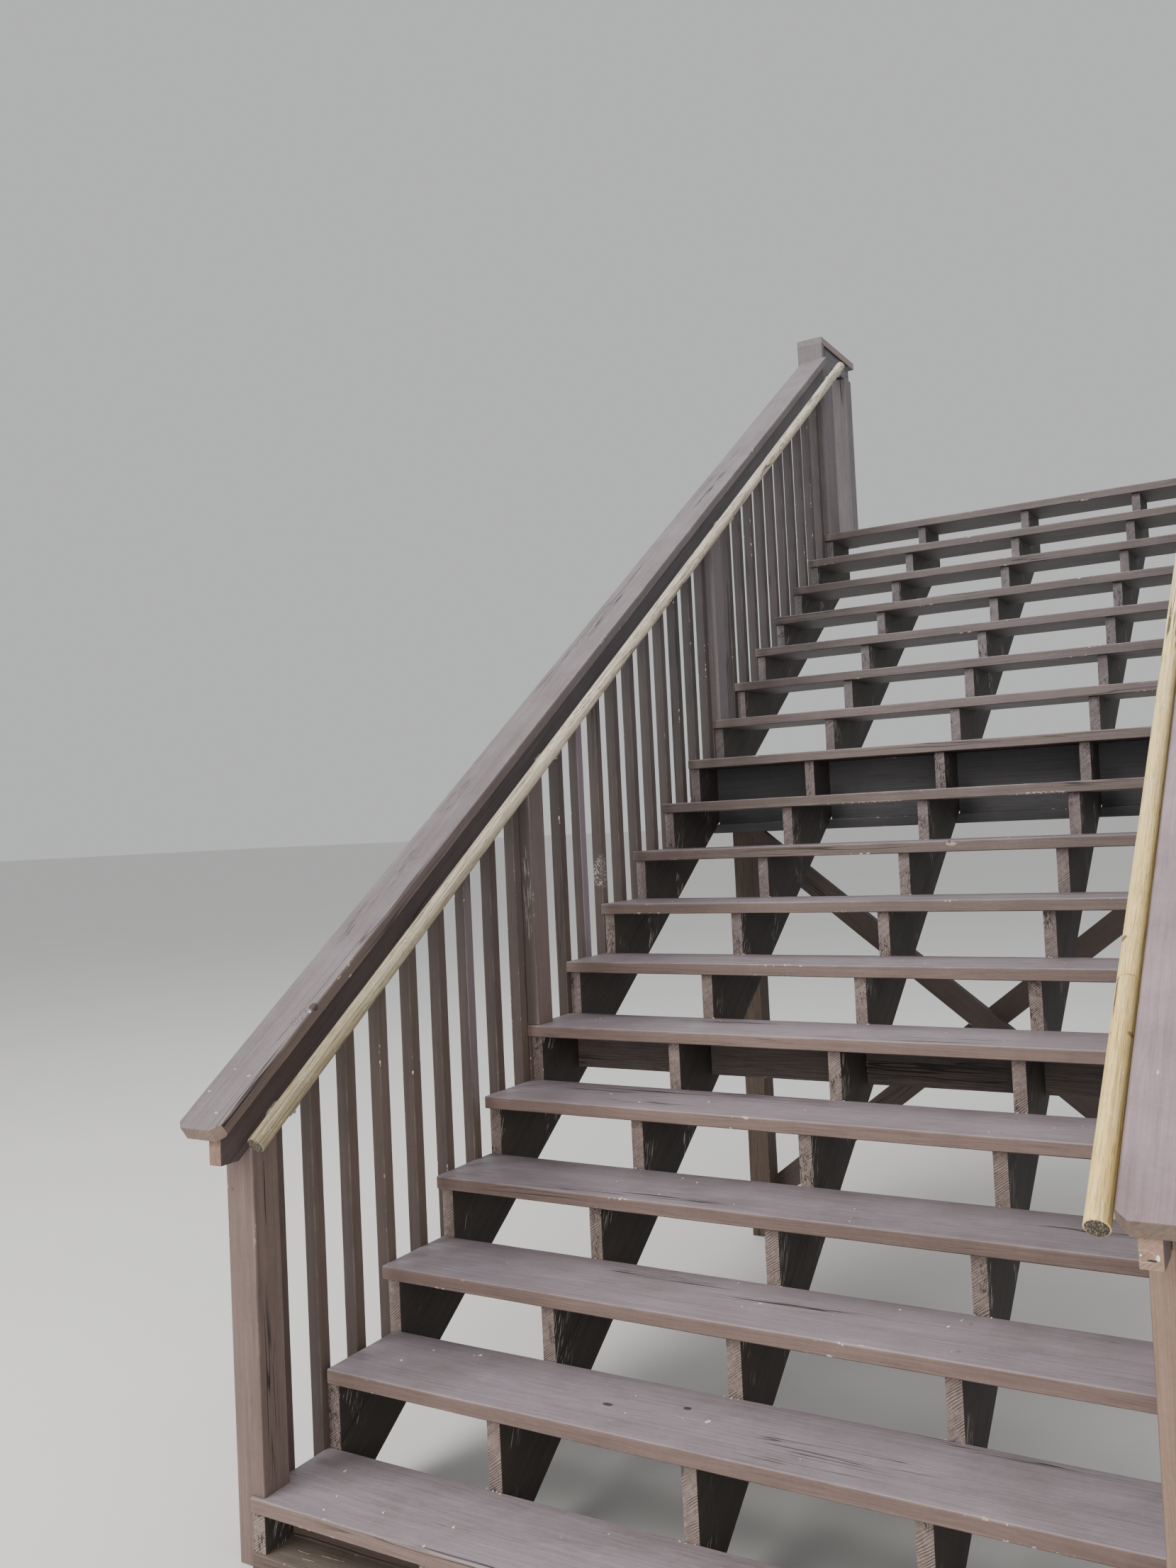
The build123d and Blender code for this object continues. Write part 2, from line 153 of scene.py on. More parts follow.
class Field:
    """A value that varies over a surface: wraps a socket, so that sums are written as sums."""

    def __init__(self, palette: "Palette", socket: bpy.types.NodeSocket) -> None:
        """Keeps the socket and the palette that adds nodes for it."""
        self.palette = palette
        self.socket = socket

    def through(self, operation: str, *parts: "Field | float") -> "Field":
        """Adds one Math node on the given parts."""
        return self.palette.add("Math", {"operation": operation}, dict(enumerate(parts)))

    __add__ = _math("ADD")
    __radd__ = _math("ADD", reflected=True)
    __sub__ = _math("SUBTRACT")
    __rsub__ = _math("SUBTRACT", reflected=True)
    __mul__ = _math("MULTIPLY")
    __rmul__ = _math("MULTIPLY", reflected=True)
    __pow__ = _math("POWER")

    def __abs__(self) -> "Field":
        """Size without the sign."""
        return self.through("ABSOLUTE", self)

    def wave(self) -> "Field":
        """Sine of the value, between 0 and 1."""
        return self.through("SINE", self) * 0.5 + 0.5

    def remainder(self) -> "Field":
        """What is left of the value after its whole part is taken away."""
        return self.through("FRACT", self)

    def step(self, low: float, high: float) -> "Field":
        """Goes smoothly from 0 at low to 1 at high.

        Args:
            low: the value at which the result is 0.
            high: the value at which it is 1; it may be the smaller of the two.

        Returns:
            The mask.
        """
        ends = (0.0, 1.0) if low < high else (1.0, 0.0)
        sockets = {0: self, 1: min(low, high), 2: max(low, high), 3: ends[0], 4: ends[1]}
        return self.palette.add("MapRange", {"interpolation_type": "SMOOTHSTEP"}, sockets)


class Palette:
    """One material's node tree, and the one way in which nodes are added to it."""

    def __init__(self, name: str) -> None:
        """Starts an empty material.

        Args:
            name: the material's name.
        """
        self.material = bpy.data.materials.new(name)
        self.material.use_nodes = True
        self.tree = self.material.node_tree
        self.tree.nodes.clear()

    def add(self, kind: str, settings: dict, sockets: dict, output: "int | str" = 0) -> Field:
        """Adds a node.

        Args:
            kind: the shader node's type.
            settings: its properties, which are set first.
            sockets: values or fields for its inputs, by name or number.
            output: which of its outputs is wanted.

        Returns:
            The field of that output.
        """
        made = self.tree.nodes.new(f"ShaderNode{kind}")
        for key, value in settings.items():
            setattr(made, key, value)
        for key, value in sockets.items():
            if isinstance(value, Field):
                self.tree.links.new(value.socket, made.inputs[key])
            else:
                made.inputs[key].default_value = value
        return Field(self, made.outputs[output] if len(made.outputs) else None)

    def attribute(self, name: str, output: str = "Fac") -> Field:
        """Value that a board's mesh carries under a name."""
        return self.add("Attribute", {"attribute_name": name}, {}, output)

    def position(self) -> Field:
        """Place in the row frame, as a vector."""
        return self.add("NewGeometry", {}, {}, "Position")

    def facing(self) -> list[Field]:
        """The three parts of the surface's direction."""
        return self.split(self.add("NewGeometry", {}, {}, "Normal"))

    def split(self, vector: Field) -> list[Field]:
        """The three parts of a vector."""
        outputs = self.add("SeparateXYZ", {}, {0: vector}).socket.node.outputs
        return [Field(self, output) for output in outputs]

    def join(self, *parts: "Field | float") -> Field:
        """The vector of three parts."""
        return self.add("CombineXYZ", {}, dict(enumerate(parts)))

    def stretch(self, vector: Field, factors: Triple) -> Field:
        """A vector with each part multiplied by its own factor."""
        return self.add("VectorMath", {"operation": "MULTIPLY"}, {0: vector, 1: factors})

    def shift(self, vector: Field, amount: "Field | Triple") -> Field:
        """The sum of two vectors."""
        return self.add("VectorMath", {"operation": "ADD"}, {0: vector, 1: amount})

    def clouds(self, vector: Field, sizes: Triple, detail: float = 3.0, rough: float = 0.6) -> Field:
        """Soft random value between 0 and 1.

        Args:
            vector: the place, in metres.
            sizes: how long its patches are each way, in metres.
            detail: how many finer layers are laid over it.
            rough: how strong these are.

        Returns:
            The value.
        """
        place = self.stretch(vector, tuple(1.0 / size for size in sizes))
        return self.add("TexNoise", {}, {"Vector": place, "Scale": 1.0, "Detail": detail, "Roughness": rough})

    def cells(self, vector: Field, size: float) -> tuple[Field, Field]:
        """Looks for the nearest of many scattered points.

        Args:
            vector: the place, in metres.
            size: how far apart they are, about.

        Returns:
            The distance to the nearest one, and a random value that it has.
        """
        sockets = {"Vector": self.stretch(vector, (1.0 / size,) * 3), "Scale": 1.0}
        away = self.add("TexVoronoi", {}, sockets, "Distance")
        draw = self.split(Field(self, away.socket.node.outputs["Color"]))[0]
        return away * size, draw

    def mix(self, amount: "Field | float", low: "Field | Colour", high: "Field | Colour") -> Field:
        """Colour between two colours."""
        ends = {key: (*end, 1.0) if isinstance(end, tuple) else end for key, end in ((6, low), (7, high))}
        return self.add("Mix", {"data_type": "RGBA"}, {0: amount, **ends}, 2)

    def dim(self, colour: Field, amount: Field) -> Field:
        """A colour multiplied by a value."""
        return self.add("VectorMath", {"operation": "SCALE"}, {0: colour, "Scale": amount})

    def finish(self, colour: Field, rough: Field, height: Field, depth: float, **fixed: float) -> Material:
        """Joins colour, roughness and height to the shader.

        Args:
            colour: the surface's colour.
            rough: its roughness.
            height: its relief, in parts of depth.
            depth: how many metres a height of 1 stands for.
            fixed: values that are the same all over, by socket name with _ for a space.

        Returns:
            The material.
        """
        bump = self.add("Bump", {}, {"Strength": 1.0, "Distance": depth, "Height": height})
        sockets = {"Base Color": colour, "Roughness": rough, "Normal": bump}
        sockets.update({key.replace("_", " "): value for key, value in fixed.items()})
        shader = self.add("BsdfPrincipled", {}, sockets)
        self.add("OutputMaterial", {}, {"Surface": shader})
        return self.material


class Skin:
    """What every wooden surface is built from: its board's grain, its faces and patterns along both."""

    RING_TURNS = 1250.0

    def __init__(self, name: str) -> None:
        """Reads the board's attributes into a new material.

        Args:
            name: the material's name.
        """
        self.palette = p = Palette(name)
        self.grain = p.attribute("grain", "Vector")
        self.tone = p.attribute("tone")
        self.wear = p.attribute("wear")
        self.cut = p.attribute("cut").step(0.4, 0.6)
        self.place = p.position()
        self.x, self.y, self.z = p.split(self.place)
        _, self.level, self.up = p.facing()

    def along(self, length: float, width: float, detail: float = 3.0, rough: float = 0.6) -> Field:
        """Random value drawn out along the fibres; sizes in metres."""
        return self.palette.clouds(self.grain, (length, width, width), detail, rough)

    def around(self, size: float, detail: float = 3.0, rough: float = 0.6) -> Field:
        """Random value with no direction."""
        return self.palette.clouds(self.place, (size, size, size), detail, rough)

    def hairline(self, length: float, spacing: float, width: float) -> Field:
        """Thin dark lines that run with the fibres, about spacing apart."""
        return abs(self.along(length, spacing, 2.0, 0.55) - 0.5).step(width / spacing, 0.2 * width / spacing)

    def rings(self) -> Field:
        """Growth rings round the board's pith, as lines on its faces.

        Returns:
            The mask of the lines.
        """
        along, wide, thick = self.palette.split(self.grain)
        warp = self.along(0.45, 0.06, 2.0, 0.5)
        radius = (wide * wide + thick * thick) ** 0.5 + along * 0.004 + warp * 0.05
        return (radius * self.RING_TURNS).wave() ** 2.0

    def patch(self, mark: "Mark", ragged: Field) -> Field:
        """Mask of a mark, with a ragged edge.

        Args:
            mark: where it is and how it covers its place.
            ragged: the random value that breaks its edge.

        Returns:
            The mask.
        """
        p = self.palette
        from_centre = p.shift(self.place, tuple(-part for part in mark.place))
        scaled = p.stretch(from_centre, tuple(1 / part for part in mark.radii))
        away = p.add("VectorMath", {"operation": "LENGTH"}, {0: scaled}, "Value")
        mask = (away + (ragged - 0.5) * 2.0 * mark.ragged).step(1.0, 0.75)
        if mark.spread is Spread.RING:
            mask = mask * (away + (ragged - 0.5) * mark.ragged).step(0.70, 0.84)
        elif mark.spread is Spread.SCALES:
            mask = mask * self.around(0.006, 3.0, 0.7).step(0.52, 0.60)
        elif mark.spread is Spread.CHECKS:
            mask = mask * self.along(0.075, 0.0028, 3.0, 0.6).step(0.55, 0.60)
        return mask * mark.strength


class Spread(Enum):
    """How a mark covers its place."""

    PATCH = "whole patch"
    RING = "only its rim"
    SCALES = "scattered scales"
    CHECKS = "short dark checks along the fibres"


@dataclass(frozen=True)
class Mark:
    """A patch of another colour at one place on the stairs."""

    place: Triple
    radii: Triple
    tint: Colour
    strength: float = 1.0
    ragged: float = 0.35
    spread: Spread = Spread.PATCH


@dataclass(frozen=True)
class PaintFinish:
    """Old brown paint over softwood, weathered on top and worn at the arrises, with a painted sky reflection
    on top, painted highlights along the arrises and painted shade underneath.

    Attributes:
        coat: colour of the paint where it is sheltered.
        faded_and_sky_sheen: colour where it faces the sky: its real weathering with a painted sky reflection
            on it.
        painted_underside_shade: colour on undersides, a painted shade.
        sawn: colour on sawn ends.
        sawn_high: colour that these take towards the top of the flight.
        high: tone that it takes towards the top of the flight.
        rubbed_and_highlit: colour of worn arrises, partly real wear and partly a painted highlight.
        bare: colour of the wood where the paint is off.
        scratch: colour of the scratches.
        speck: colour of the specks.
        gap: colour in the cracks.
        fade_and_sheen: how much it has weathered on top and takes the painted sky reflection.
        checks: how much of it has short dark checks.
        cracks: how much of it has long cracks.
        ink: how strongly the grain shows.
        chips: how much has come off at the arrises.
        scuffs: strength of the pale scratches beside the riser cuts.
        brushed: strength of the brush strokes.
        gloss: roughness on the level.
        flecks: how many pale specks lie on it.
        front_face_shade: painted shade on faces that look down the flight, as how much darker they are; below
            0 it is a painted light that makes them lighter.
        sawing: how roughly its ends and notches are sawn.
        relief: how many metres a height of 1 stands for.
        marks: patches at single places.
    """

    name: str
    coat: Colour
    faded_and_sky_sheen: Colour
    painted_underside_shade: Colour
    sawn: Colour
    high: Colour = (0.165, 0.150, 0.155)
    sawn_high: Colour = (0.20, 0.18, 0.185)
    rubbed_and_highlit: Colour = (0.30, 0.235, 0.20)
    bare: Colour = (0.66, 0.58, 0.48)
    scratch: Colour = (0.46, 0.43, 0.40)
    speck: Colour = (0.74, 0.71, 0.67)
    gap: Colour = (0.018, 0.013, 0.012)
    fade_and_sheen: float = 0.7
    checks: float = 0.2
    cracks: float = 0.35
    ink: float = 0.3
    chips: float = 0.35
    scuffs: float = 0.0
    brushed: float = 0.25
    gloss: float = 0.5
    flecks: float = 0.3
    front_face_shade: float = 0.0
    sawing: float = 0.4
    relief: float = 0.0008
    marks: tuple[Mark, ...] = ()

    def material(self) -> Material:
        """Builds the paint's nodes.

        Returns:
            The material.
        """
        skin = Skin(self.name)
        p = skin.palette
        up = skin.up.step(0.3, 0.85)
        climb = skin.z.step(0.8, 2.7)
        fibres = skin.along(0.13, 0.0042, 4.0, 0.65)
        brush = skin.along(0.40, 0.009)
        broad = skin.along(0.9, 0.12)
        blotch = skin.around(0.15, 4.0)
        mottle = skin.around(0.011, 3.0, 0.65)
        ragged = skin.around(0.024, 5.0, 0.72)
        rings = skin.rings()
        saw = self._saw_marks(skin)
        rough_cut = skin.cut * (1.0 - skin.z.step(3.2, 4.2) * 0.85)
        crack = self._cracks(skin)
        chip = self._chips(skin, ragged)
        fleck = self._flecks(skin)

        # Up-facing faces: partly real weathering, partly a painted sky reflection.
        colour = p.mix(up * self.fade_and_sheen * (0.55 + 0.9 * blotch), self.coat, self.faded_and_sky_sheen)
        colour = p.mix(climb * (1.0 - up) * 0.8, colour, self.high)
        # Undersides: painted shade.
        colour = p.mix(skin.up.step(-0.3, -0.85) * 0.85, colour, self.painted_underside_shade)
        colour = p.mix(skin.cut, colour, p.mix(climb, self.sawn, self.sawn_high))
        lightness = 0.82 + 0.32 * skin.tone + (broad - 0.5) * 0.5 + (blotch - 0.5) * 0.3
        lightness = lightness + (mottle - 0.5) * 0.3 + (brush - 0.5) * self.brushed * 2.0
        lines = (fibres.step(0.42, 0.7) * 0.5 + rings * 0.3) * self.ink * (1.0 - 0.6 * skin.cut)
        lightness = lightness * (1.0 - lines) * (1.0 - rough_cut * (saw - 0.5) * 1.2 * self.sawing)
        # Faces that look down the flight: painted shade, or painted light where the setting is below 0.
        if self.front_face_shade:
            shade = self.front_face_shade * (1.0 - 0.35 * skin.z.step(1.6, 3.0))
            lightness = lightness * (1.0 - skin.level.step(-0.5, -0.9) * shade)
        colour = p.dim(colour, lightness)
        # Arrises: a paler line, partly real wear and partly a painted highlight.
        colour = p.mix(skin.wear.step(0.75, 1.0) * (0.02 + 0.3 * blotch.step(0.4, 0.8)), colour, self.rubbed_and_highlit)
        colour = p.mix(chip, colour, self.bare)
        if self.scuffs:
            colour = p.mix(self._scratches(skin) * self.scuffs, colour, self.scratch)
        for mark in self.marks:
            colour = p.mix(skin.patch(mark, ragged), colour, mark.tint)
        colour = p.mix(fleck, colour, self.speck)
        colour = p.mix(crack * 0.9, colour, self.gap)

        rough = self.gloss + 0.10 - up * 0.06 + fibres * 0.12 + mottle * 0.10
        rough = rough + chip * 0.25 + skin.cut * 0.25 - blotch * 0.12
        height = fibres * 0.30 + rings * 0.14 + brush * 0.35 + mottle * 0.16
        height = height - crack * 1.5 - chip * 0.5 + fleck * 0.4
        height = height * (1.0 - 0.5 * skin.cut) + rough_cut * saw * 1.8 * self.sawing
        return p.finish(colour, rough, height, self.relief, Specular_IOR_Level=0.45)

    @staticmethod
    def _saw_marks(skin: Skin) -> Field:
        """Slanting ridges that the saw left on the ends and in the notches, clearer in some places.

        Args:
            skin: the board's patterns.

        Returns:
            The height of the ridges.
        """
        cosine, sine, turns = 0.80, 0.60, 1150.0
        down = skin.z * cosine - skin.x * sine
        slant = skin.palette.join(skin.x * cosine + skin.z * sine, down, skin.y)
        streaks = skin.palette.clouds(slant, (0.07, 0.006, 0.02), 2.0, 0.6)
        wobble = skin.palette.clouds(slant, (0.09, 0.03, 0.03), 1.0, 0.5)
        ridges = ((down + wobble * 0.012) * turns).wave()
        clear = skin.around(0.05, 2.0).step(0.42, 0.60)
        return streaks * (1.0 - clear * 0.6) + ridges * clear * 0.6

    def _cracks(self, skin: Skin) -> Field:
        """Long cracks and short checks along the fibres, in some places only.

        Args:
            skin: the board's patterns.

        Returns:
            The mask of both, with the splits of the sawn ends.
        """
        cracked, checked = 0.3 * self.cracks, 0.3 * self.checks
        where = skin.along(1.1, 0.10, 1.0, 0.5).step(0.70 - cracked, 0.78 - cracked)
        long_ones = skin.hairline(0.8, 0.026, 0.0007) * where
        where = skin.along(0.6, 0.07, 2.0, 0.5).step(0.74 - checked, 0.84 - checked)
        short = skin.along(0.090, 0.0034, 3.0, 0.6).step(0.60, 0.67) * where
        ends = skin.palette.clouds(skin.place, (0.016, 0.02, 0.07), 3.0, 0.7)
        split = abs(ends - 0.5).step(0.026, 0.008) * skin.around(0.11, 1.0).step(0.50, 0.58) * self.sawing
        split = split * skin.z.step(3.2, 2.4)
        return (long_ones + short) * (1.0 - skin.cut) + split * skin.cut * 0.9

    def _chips(self, skin: Skin, ragged: Field) -> Field:
        """Places at the arrises where the paint has come off down to the wood."""
        clusters = skin.around(0.33, 1.0).step(0.66 - 0.2 * self.chips, 0.74 - 0.2 * self.chips)
        return (skin.wear * 0.40 + ragged).step(0.98, 1.01) * clusters * 0.9

    def _flecks(self, skin: Skin) -> Field:
        """Small pale specks, scattered thinly.

        Args:
            skin: the board's patterns.

        Returns:
            The mask of the specks.
        """
        away, draw = skin.palette.cells(skin.place, 0.062)
        size = (draw - (1.0 - 0.3 * self.flecks)) * 0.012
        return (size - away * (0.6 + 0.8 * skin.around(0.004, 1.0))).step(-0.0004, 0.0004)

    @staticmethod
    def _scratches(skin: Skin) -> Field:
        """Pale slanting scratches on a stringer's sides, thickest just behind each riser cut.

        Args:
            skin: the board's patterns.

        Returns:
            The mask of the scratches.
        """
        behind = ((skin.y - (FRONT + 0.025)) * (1.0 / GOING)).remainder()
        slant = skin.palette.join(skin.x, skin.y * 0.93 - skin.z * 0.36, skin.z * 0.93 + skin.y * 0.36)
        lines = skin.palette.clouds(slant, (0.01, 0.0048, 0.065), 2.0, 0.6).step(0.56, 0.64)
        return lines * behind.step(0.42, 0.05) * skin.around(0.14, 1.0).step(0.50, 0.58) * (1.0 - skin.cut)


@dataclass(frozen=True)
class DowelFinish:
    """Bare softwood rail, silvered by the weather, with dark pores drawn out along its fibres.

    Attributes:
        fresh: colour of the wood that hasn't weathered.
        silver: colour of the wood that has.
        line: colour of the pores and the dark fibres.
        end: colour of the sawn ends.
        ray: colour of the pale lines on these.
        gap: colour in the splits.
        scuffed: colour of the scuffs.
        silvering: how much of it has weathered.
        lined: strength of the pores and the dark fibres.
        scuffs: strength of the scuffs.
        marks: patches at single places.
    """

    name: str
    fresh: Colour
    silver: Colour
    line: Colour = (0.115, 0.080, 0.045)
    end: Colour = (0.060, 0.052, 0.040)
    ray: Colour = (0.30, 0.25, 0.17)
    gap: Colour = (0.03, 0.022, 0.016)
    scuffed: Colour = (0.80, 0.76, 0.66)
    silvering: float = 0.5
    lined: float = 0.65
    scuffs: float = 0.3
    marks: tuple[Mark, ...] = ()

    def material(self) -> Material:
        """Builds the wood's nodes.

        Returns:
            The material.
        """
        skin = Skin(self.name)
        p = skin.palette
        pores = skin.along(0.060, 0.0024, 2.0, 0.6)
        fibres = skin.along(0.42, 0.0040, 3.0, 0.6)
        broad = skin.along(0.7, 0.03, 4.0)
        patches = skin.around(0.11, 5.0, 0.65)
        ragged = skin.around(0.012, 5.0, 0.72)
        dash = pores.step(0.53, 0.60) * (0.35 + 0.65 * broad.step(0.35, 0.6))
        lines = fibres.step(0.50, 0.60) * (0.5 + 0.5 * patches.step(0.35, 0.6))
        split = skin.hairline(0.7, 0.020, 0.0006) * skin.along(0.7, 0.12, 1.0, 0.5).step(0.54, 0.62)
        scuff = skin.along(0.022, 0.005, 3.0, 0.7).step(0.60, 0.66) * patches.step(0.46, 0.58)
        rays = p.clouds(skin.place, (0.003, 0.006, 0.0045), 3.0, 0.7)

        colour = p.mix(patches.step(0.35, 0.7) * self.silvering, self.fresh, self.silver)
        colour = p.mix(skin.z.step(0.8, 2.4) * 0.8, colour, self.silver)
        colour = p.dim(colour, 0.88 + 0.2 * skin.tone + (broad - 0.5) * 0.4)
        colour = p.mix(lines * self.lined, colour, self.line)
        colour = p.mix(dash * self.lined * 1.2, colour, self.line)
        colour = p.mix(split * 0.9, colour, self.gap)
        colour = p.mix(scuff * self.scuffs, colour, self.scuffed)
        for mark in self.marks:
            colour = p.mix(skin.patch(mark, ragged), colour, mark.tint)
        colour = p.mix(skin.cut, colour, p.mix(rays.step(0.50, 0.64), self.end, self.ray))
        height = pores * 0.5 + fibres * 0.3 - dash * 0.3 - split * 1.5 + skin.cut * rays * 0.8
        return p.finish(colour, 0.72 + fibres * 0.15, height, 0.0009, Specular_IOR_Level=0.3)


@dataclass(frozen=True)
class MetalFinish:
    """Plated steel with a little rust where water stands."""

    name: str
    plate: Colour
    rust: Colour = (0.20, 0.085, 0.035)
    rusting: float = 0.3
    gloss: float = 0.35

    def material(self) -> Material:
        """Builds the metal's nodes.

        Returns:
            The material.
        """
        skin = Skin(self.name)
        p = skin.palette
        spangle = skin.around(0.0042, 4.0, 0.65)
        stain = skin.around(0.009, 5.0, 0.7).step(0.70 - 0.3 * self.rusting, 0.80 - 0.3 * self.rusting)
        colour = p.dim(p.mix(stain, self.plate, self.rust), 0.75 + 0.5 * spangle)
        rough = stain * 0.4 + spangle * 0.2 + (self.gloss - 0.1)
        return p.finish(colour, rough, spangle * 0.4 + stain, 0.0002, Metallic=0.85)


@dataclass(frozen=True)
class DryFinish:
    """Plain dry matter such as straw, flakes of paint and dust."""

    name: str
    light: Colour
    dark: Colour
    patch: float = 0.011

    def material(self) -> Material:
        """Builds the nodes.

        Returns:
            The material.
        """
        skin = Skin(self.name)
        p = skin.palette
        patches = skin.around(self.patch, 4.0, 0.65)
        fine = skin.around(0.0017, 2.0, 0.5)
        colour = p.mix(patches.step(0.3, 0.7), self.dark, self.light)
        height = patches * 0.5 + fine * 0.5
        return p.finish(colour, 0.75 + 0.15 * fine, height, 0.0004, Specular_IOR_Level=0.25)


Finish = PaintFinish | DowelFinish | MetalFinish | DryFinish


class Workshop:
    """What every sub-assembly works with: the CAD's nodes, and one material for each finish."""

    def __init__(self, nodes: dict[str, Piece]) -> None:
        """Keeps the nodes; no material is made yet."""
        self.nodes = nodes
        self.made: dict[str, Material] = {}

    def dress(self, piece: Piece, finish: Finish) -> None:
        """Gives a piece the material of its finish.

        Args:
            piece: the object whose material slots are filled.
            finish: what it gets; its material is made at its first use.
        """
        if finish.name not in self.made:
            self.made[finish.name] = finish.material()
        piece.data.materials.clear()
        piece.data.materials.append(self.made[finish.name])

    def place(self, work: Mesh, name: str, slot: str, finish: Finish, smooth_angle: float = 45.0) -> Piece:
        """Turns a finished mesh into a dressed piece that rides on the stairs.

        Args:
            work: the mesh, which is used up.
            name: the piece's name.
            slot: not used.
            finish: what the piece wears.
            smooth_angle: edges sharper than this many degrees stay sharp.

        Returns:
            The new object.
        """
        mesh = bpy.data.meshes.new(name)
        work.to_mesh(mesh)
        work.free()
        mesh.shade_smooth()
        mesh.set_sharp_from_angle(angle=math.radians(smooth_angle))
        piece = bpy.data.objects.new(name, mesh)
        bpy.context.scene.collection.objects.link(piece)
        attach(piece, "root")
        self.dress(piece, finish)
        log.info("%s: %d faces in %s", name, len(mesh.polygons), finish.name)
        return piece


@dataclass(frozen=True)
class Joinery:
    """Cuts the boards of a CAD node again, with eased arrises and a slight wander.

    Attributes:
        arris: width of the easing at a sharp edge.
        border: width of the band along each edge that the paint wears on.
        spacing: distance between the cross-sections along a board.
        bow: how far a long board wanders from its line.
        ripple: how far its arrises waver.
        narrow: a face narrower than this is an eased edge.
        sharp: edges that turn by more than this are eased.
        weld: corners nearer than this are one.
        needle: edges shorter than this are taken out.
        hold: how far a corner may move, as a share of its shortest edge.
        end_on: a face that looks along the fibres by more than this is a sawn end.
        grains: directions that the fibres may run in.
    """

    arris: float = 0.0016
    border: float = 0.009
    spacing: float = 0.07
    bow: float = 0.0012
    ripple: float = 0.0005
    narrow: float = 0.0062
    sharp: float = math.radians(38)
    weld: float = 1e-5
    needle: float = 5e-5
    hold: float = 0.3
    end_on: float = 0.45
    grains: tuple[Grain, ...] = (Grain.ACROSS, Grain.BACK, Grain.UPRIGHT, Grain.RAKED)

    def cut(self, shop: Workshop, node: str, slot: str, finish: PaintFinish, seed: int) -> None:
        """Makes the finer piece that stands for a node, which itself stays as it is.

        Args:
            shop: holds the CAD's nodes and the materials.
            node: the CAD node's name.
            slot: name of a material slot, handed on to the workshop.
            finish: what the piece wears.
            seed: start of the random draws.
        """
        work = bmesh.new()
        work.from_mesh(shop.nodes[node].data)
        bmesh.ops.remove_doubles(work, verts=work.verts, dist=self.weld)
        bmesh.ops.dissolve_limit(work, angle_limit=math.radians(1.0), verts=work.verts, edges=work.edges)
        self._ease(work)
        self._divide(work)
        self._describe(work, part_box(node), random.Random(seed))
        piece = shop.place(work, f"{node}_timber", slot, finish)
        piece.modifiers.new("flat faces", "WEIGHTED_NORMAL").keep_sharp = True
        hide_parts(node)

    def _ease(self, work: Mesh) -> None:
        """Eases the arrises, and gives each wide face a border for wear; a cramped one gets a hub.

        Args:
            work: the boards as the CAD has them.
        """
        sharp = [edge for edge in work.edges if edge.calc_face_angle(0.0) > self.sharp]
        bmesh.ops.bevel(
            work, geom=sharp, offset=self.arris, segments=2, profile=0.5, affect="EDGES", clamp_overlap=True
        )
        wear = work.verts.layers.float.new("wear")
        wide = []
        for face in work.faces:
            longest = max(edge.calc_length() for edge in face.edges)
            width = face.calc_area() / max(longest, 1e-6)
            if width < self.narrow:
                for vert in face.verts:
                    vert[wear] = 1.0
            else:
                wide.append((face, min(self.border, 0.3 * width)))
        for face, border in wide:
            border = min(border, 0.8 * self._room(face))
            if border > 0.5 * self.arris:
                bmesh.ops.inset_individual(work, faces=[face], thickness=border, use_even_offset=True)
                for vert in face.verts:
                    vert[wear] = 0.0
            elif all(corner.is_convex for corner in face.loops):
                hub = bmesh.ops.poke(work, faces=[face])["verts"][0]
                hub[wear] = 0.0

    @staticmethod
    def _room(face: Face) -> float:
        """Measures how far a face's outline can be drawn in before one of its edges is used up.

        Args:
            face: the face.

        Returns:
            The distance.
        """
        room = math.inf
        for corner in face.loops:
            ends = [end for end in (corner, corner.link_loop_next) if end.is_convex]
            lost = sum(1.0 / math.tan(max(end.calc_angle(), 0.02) / 2) for end in ends)
            if lost > 1e-4:
                room = min(room, corner.edge.calc_length() / lost)
        return room

    def _divide(self, work: Mesh) -> None:
        """Adds cross-sections along the boards.

        Args:
            work: the boards, eased.
        """
        used = {self._grain_of(part) for part in loose_parts(work)}
        for grain in self.grains:
            if grain not in used:
                continue
            along = grain.along
            reach = [vert.co.dot(along) for vert in work.verts]
            low, high = min(reach), max(reach)
            count = max(2, round((high - low) / self.spacing))
            for index in range(1, count):
                place = along * (low + (high - low) * index / count)
                everything = work.verts[:] + work.edges[:] + work.faces[:]
                bmesh.ops.bisect_plane(work, geom=everything, dist=1e-6, plane_co=place, plane_no=along)
        bmesh.ops.dissolve_degenerate(work, dist=self.needle, edges=work.edges)

    def _grain_of(self, part: Iterable[Vert]) -> Grain:
        """Finds the direction in which a board is longest.

        Args:
            part: the board's corners.

        Returns:
            The direction.
        """

        def extent(grain: Grain) -> float:
            """Length of the board along a direction."""
            reach = [vert.co.dot(grain.along) for vert in part]
            return max(reach) - min(reach)

        return max(self.grains, key=extent)

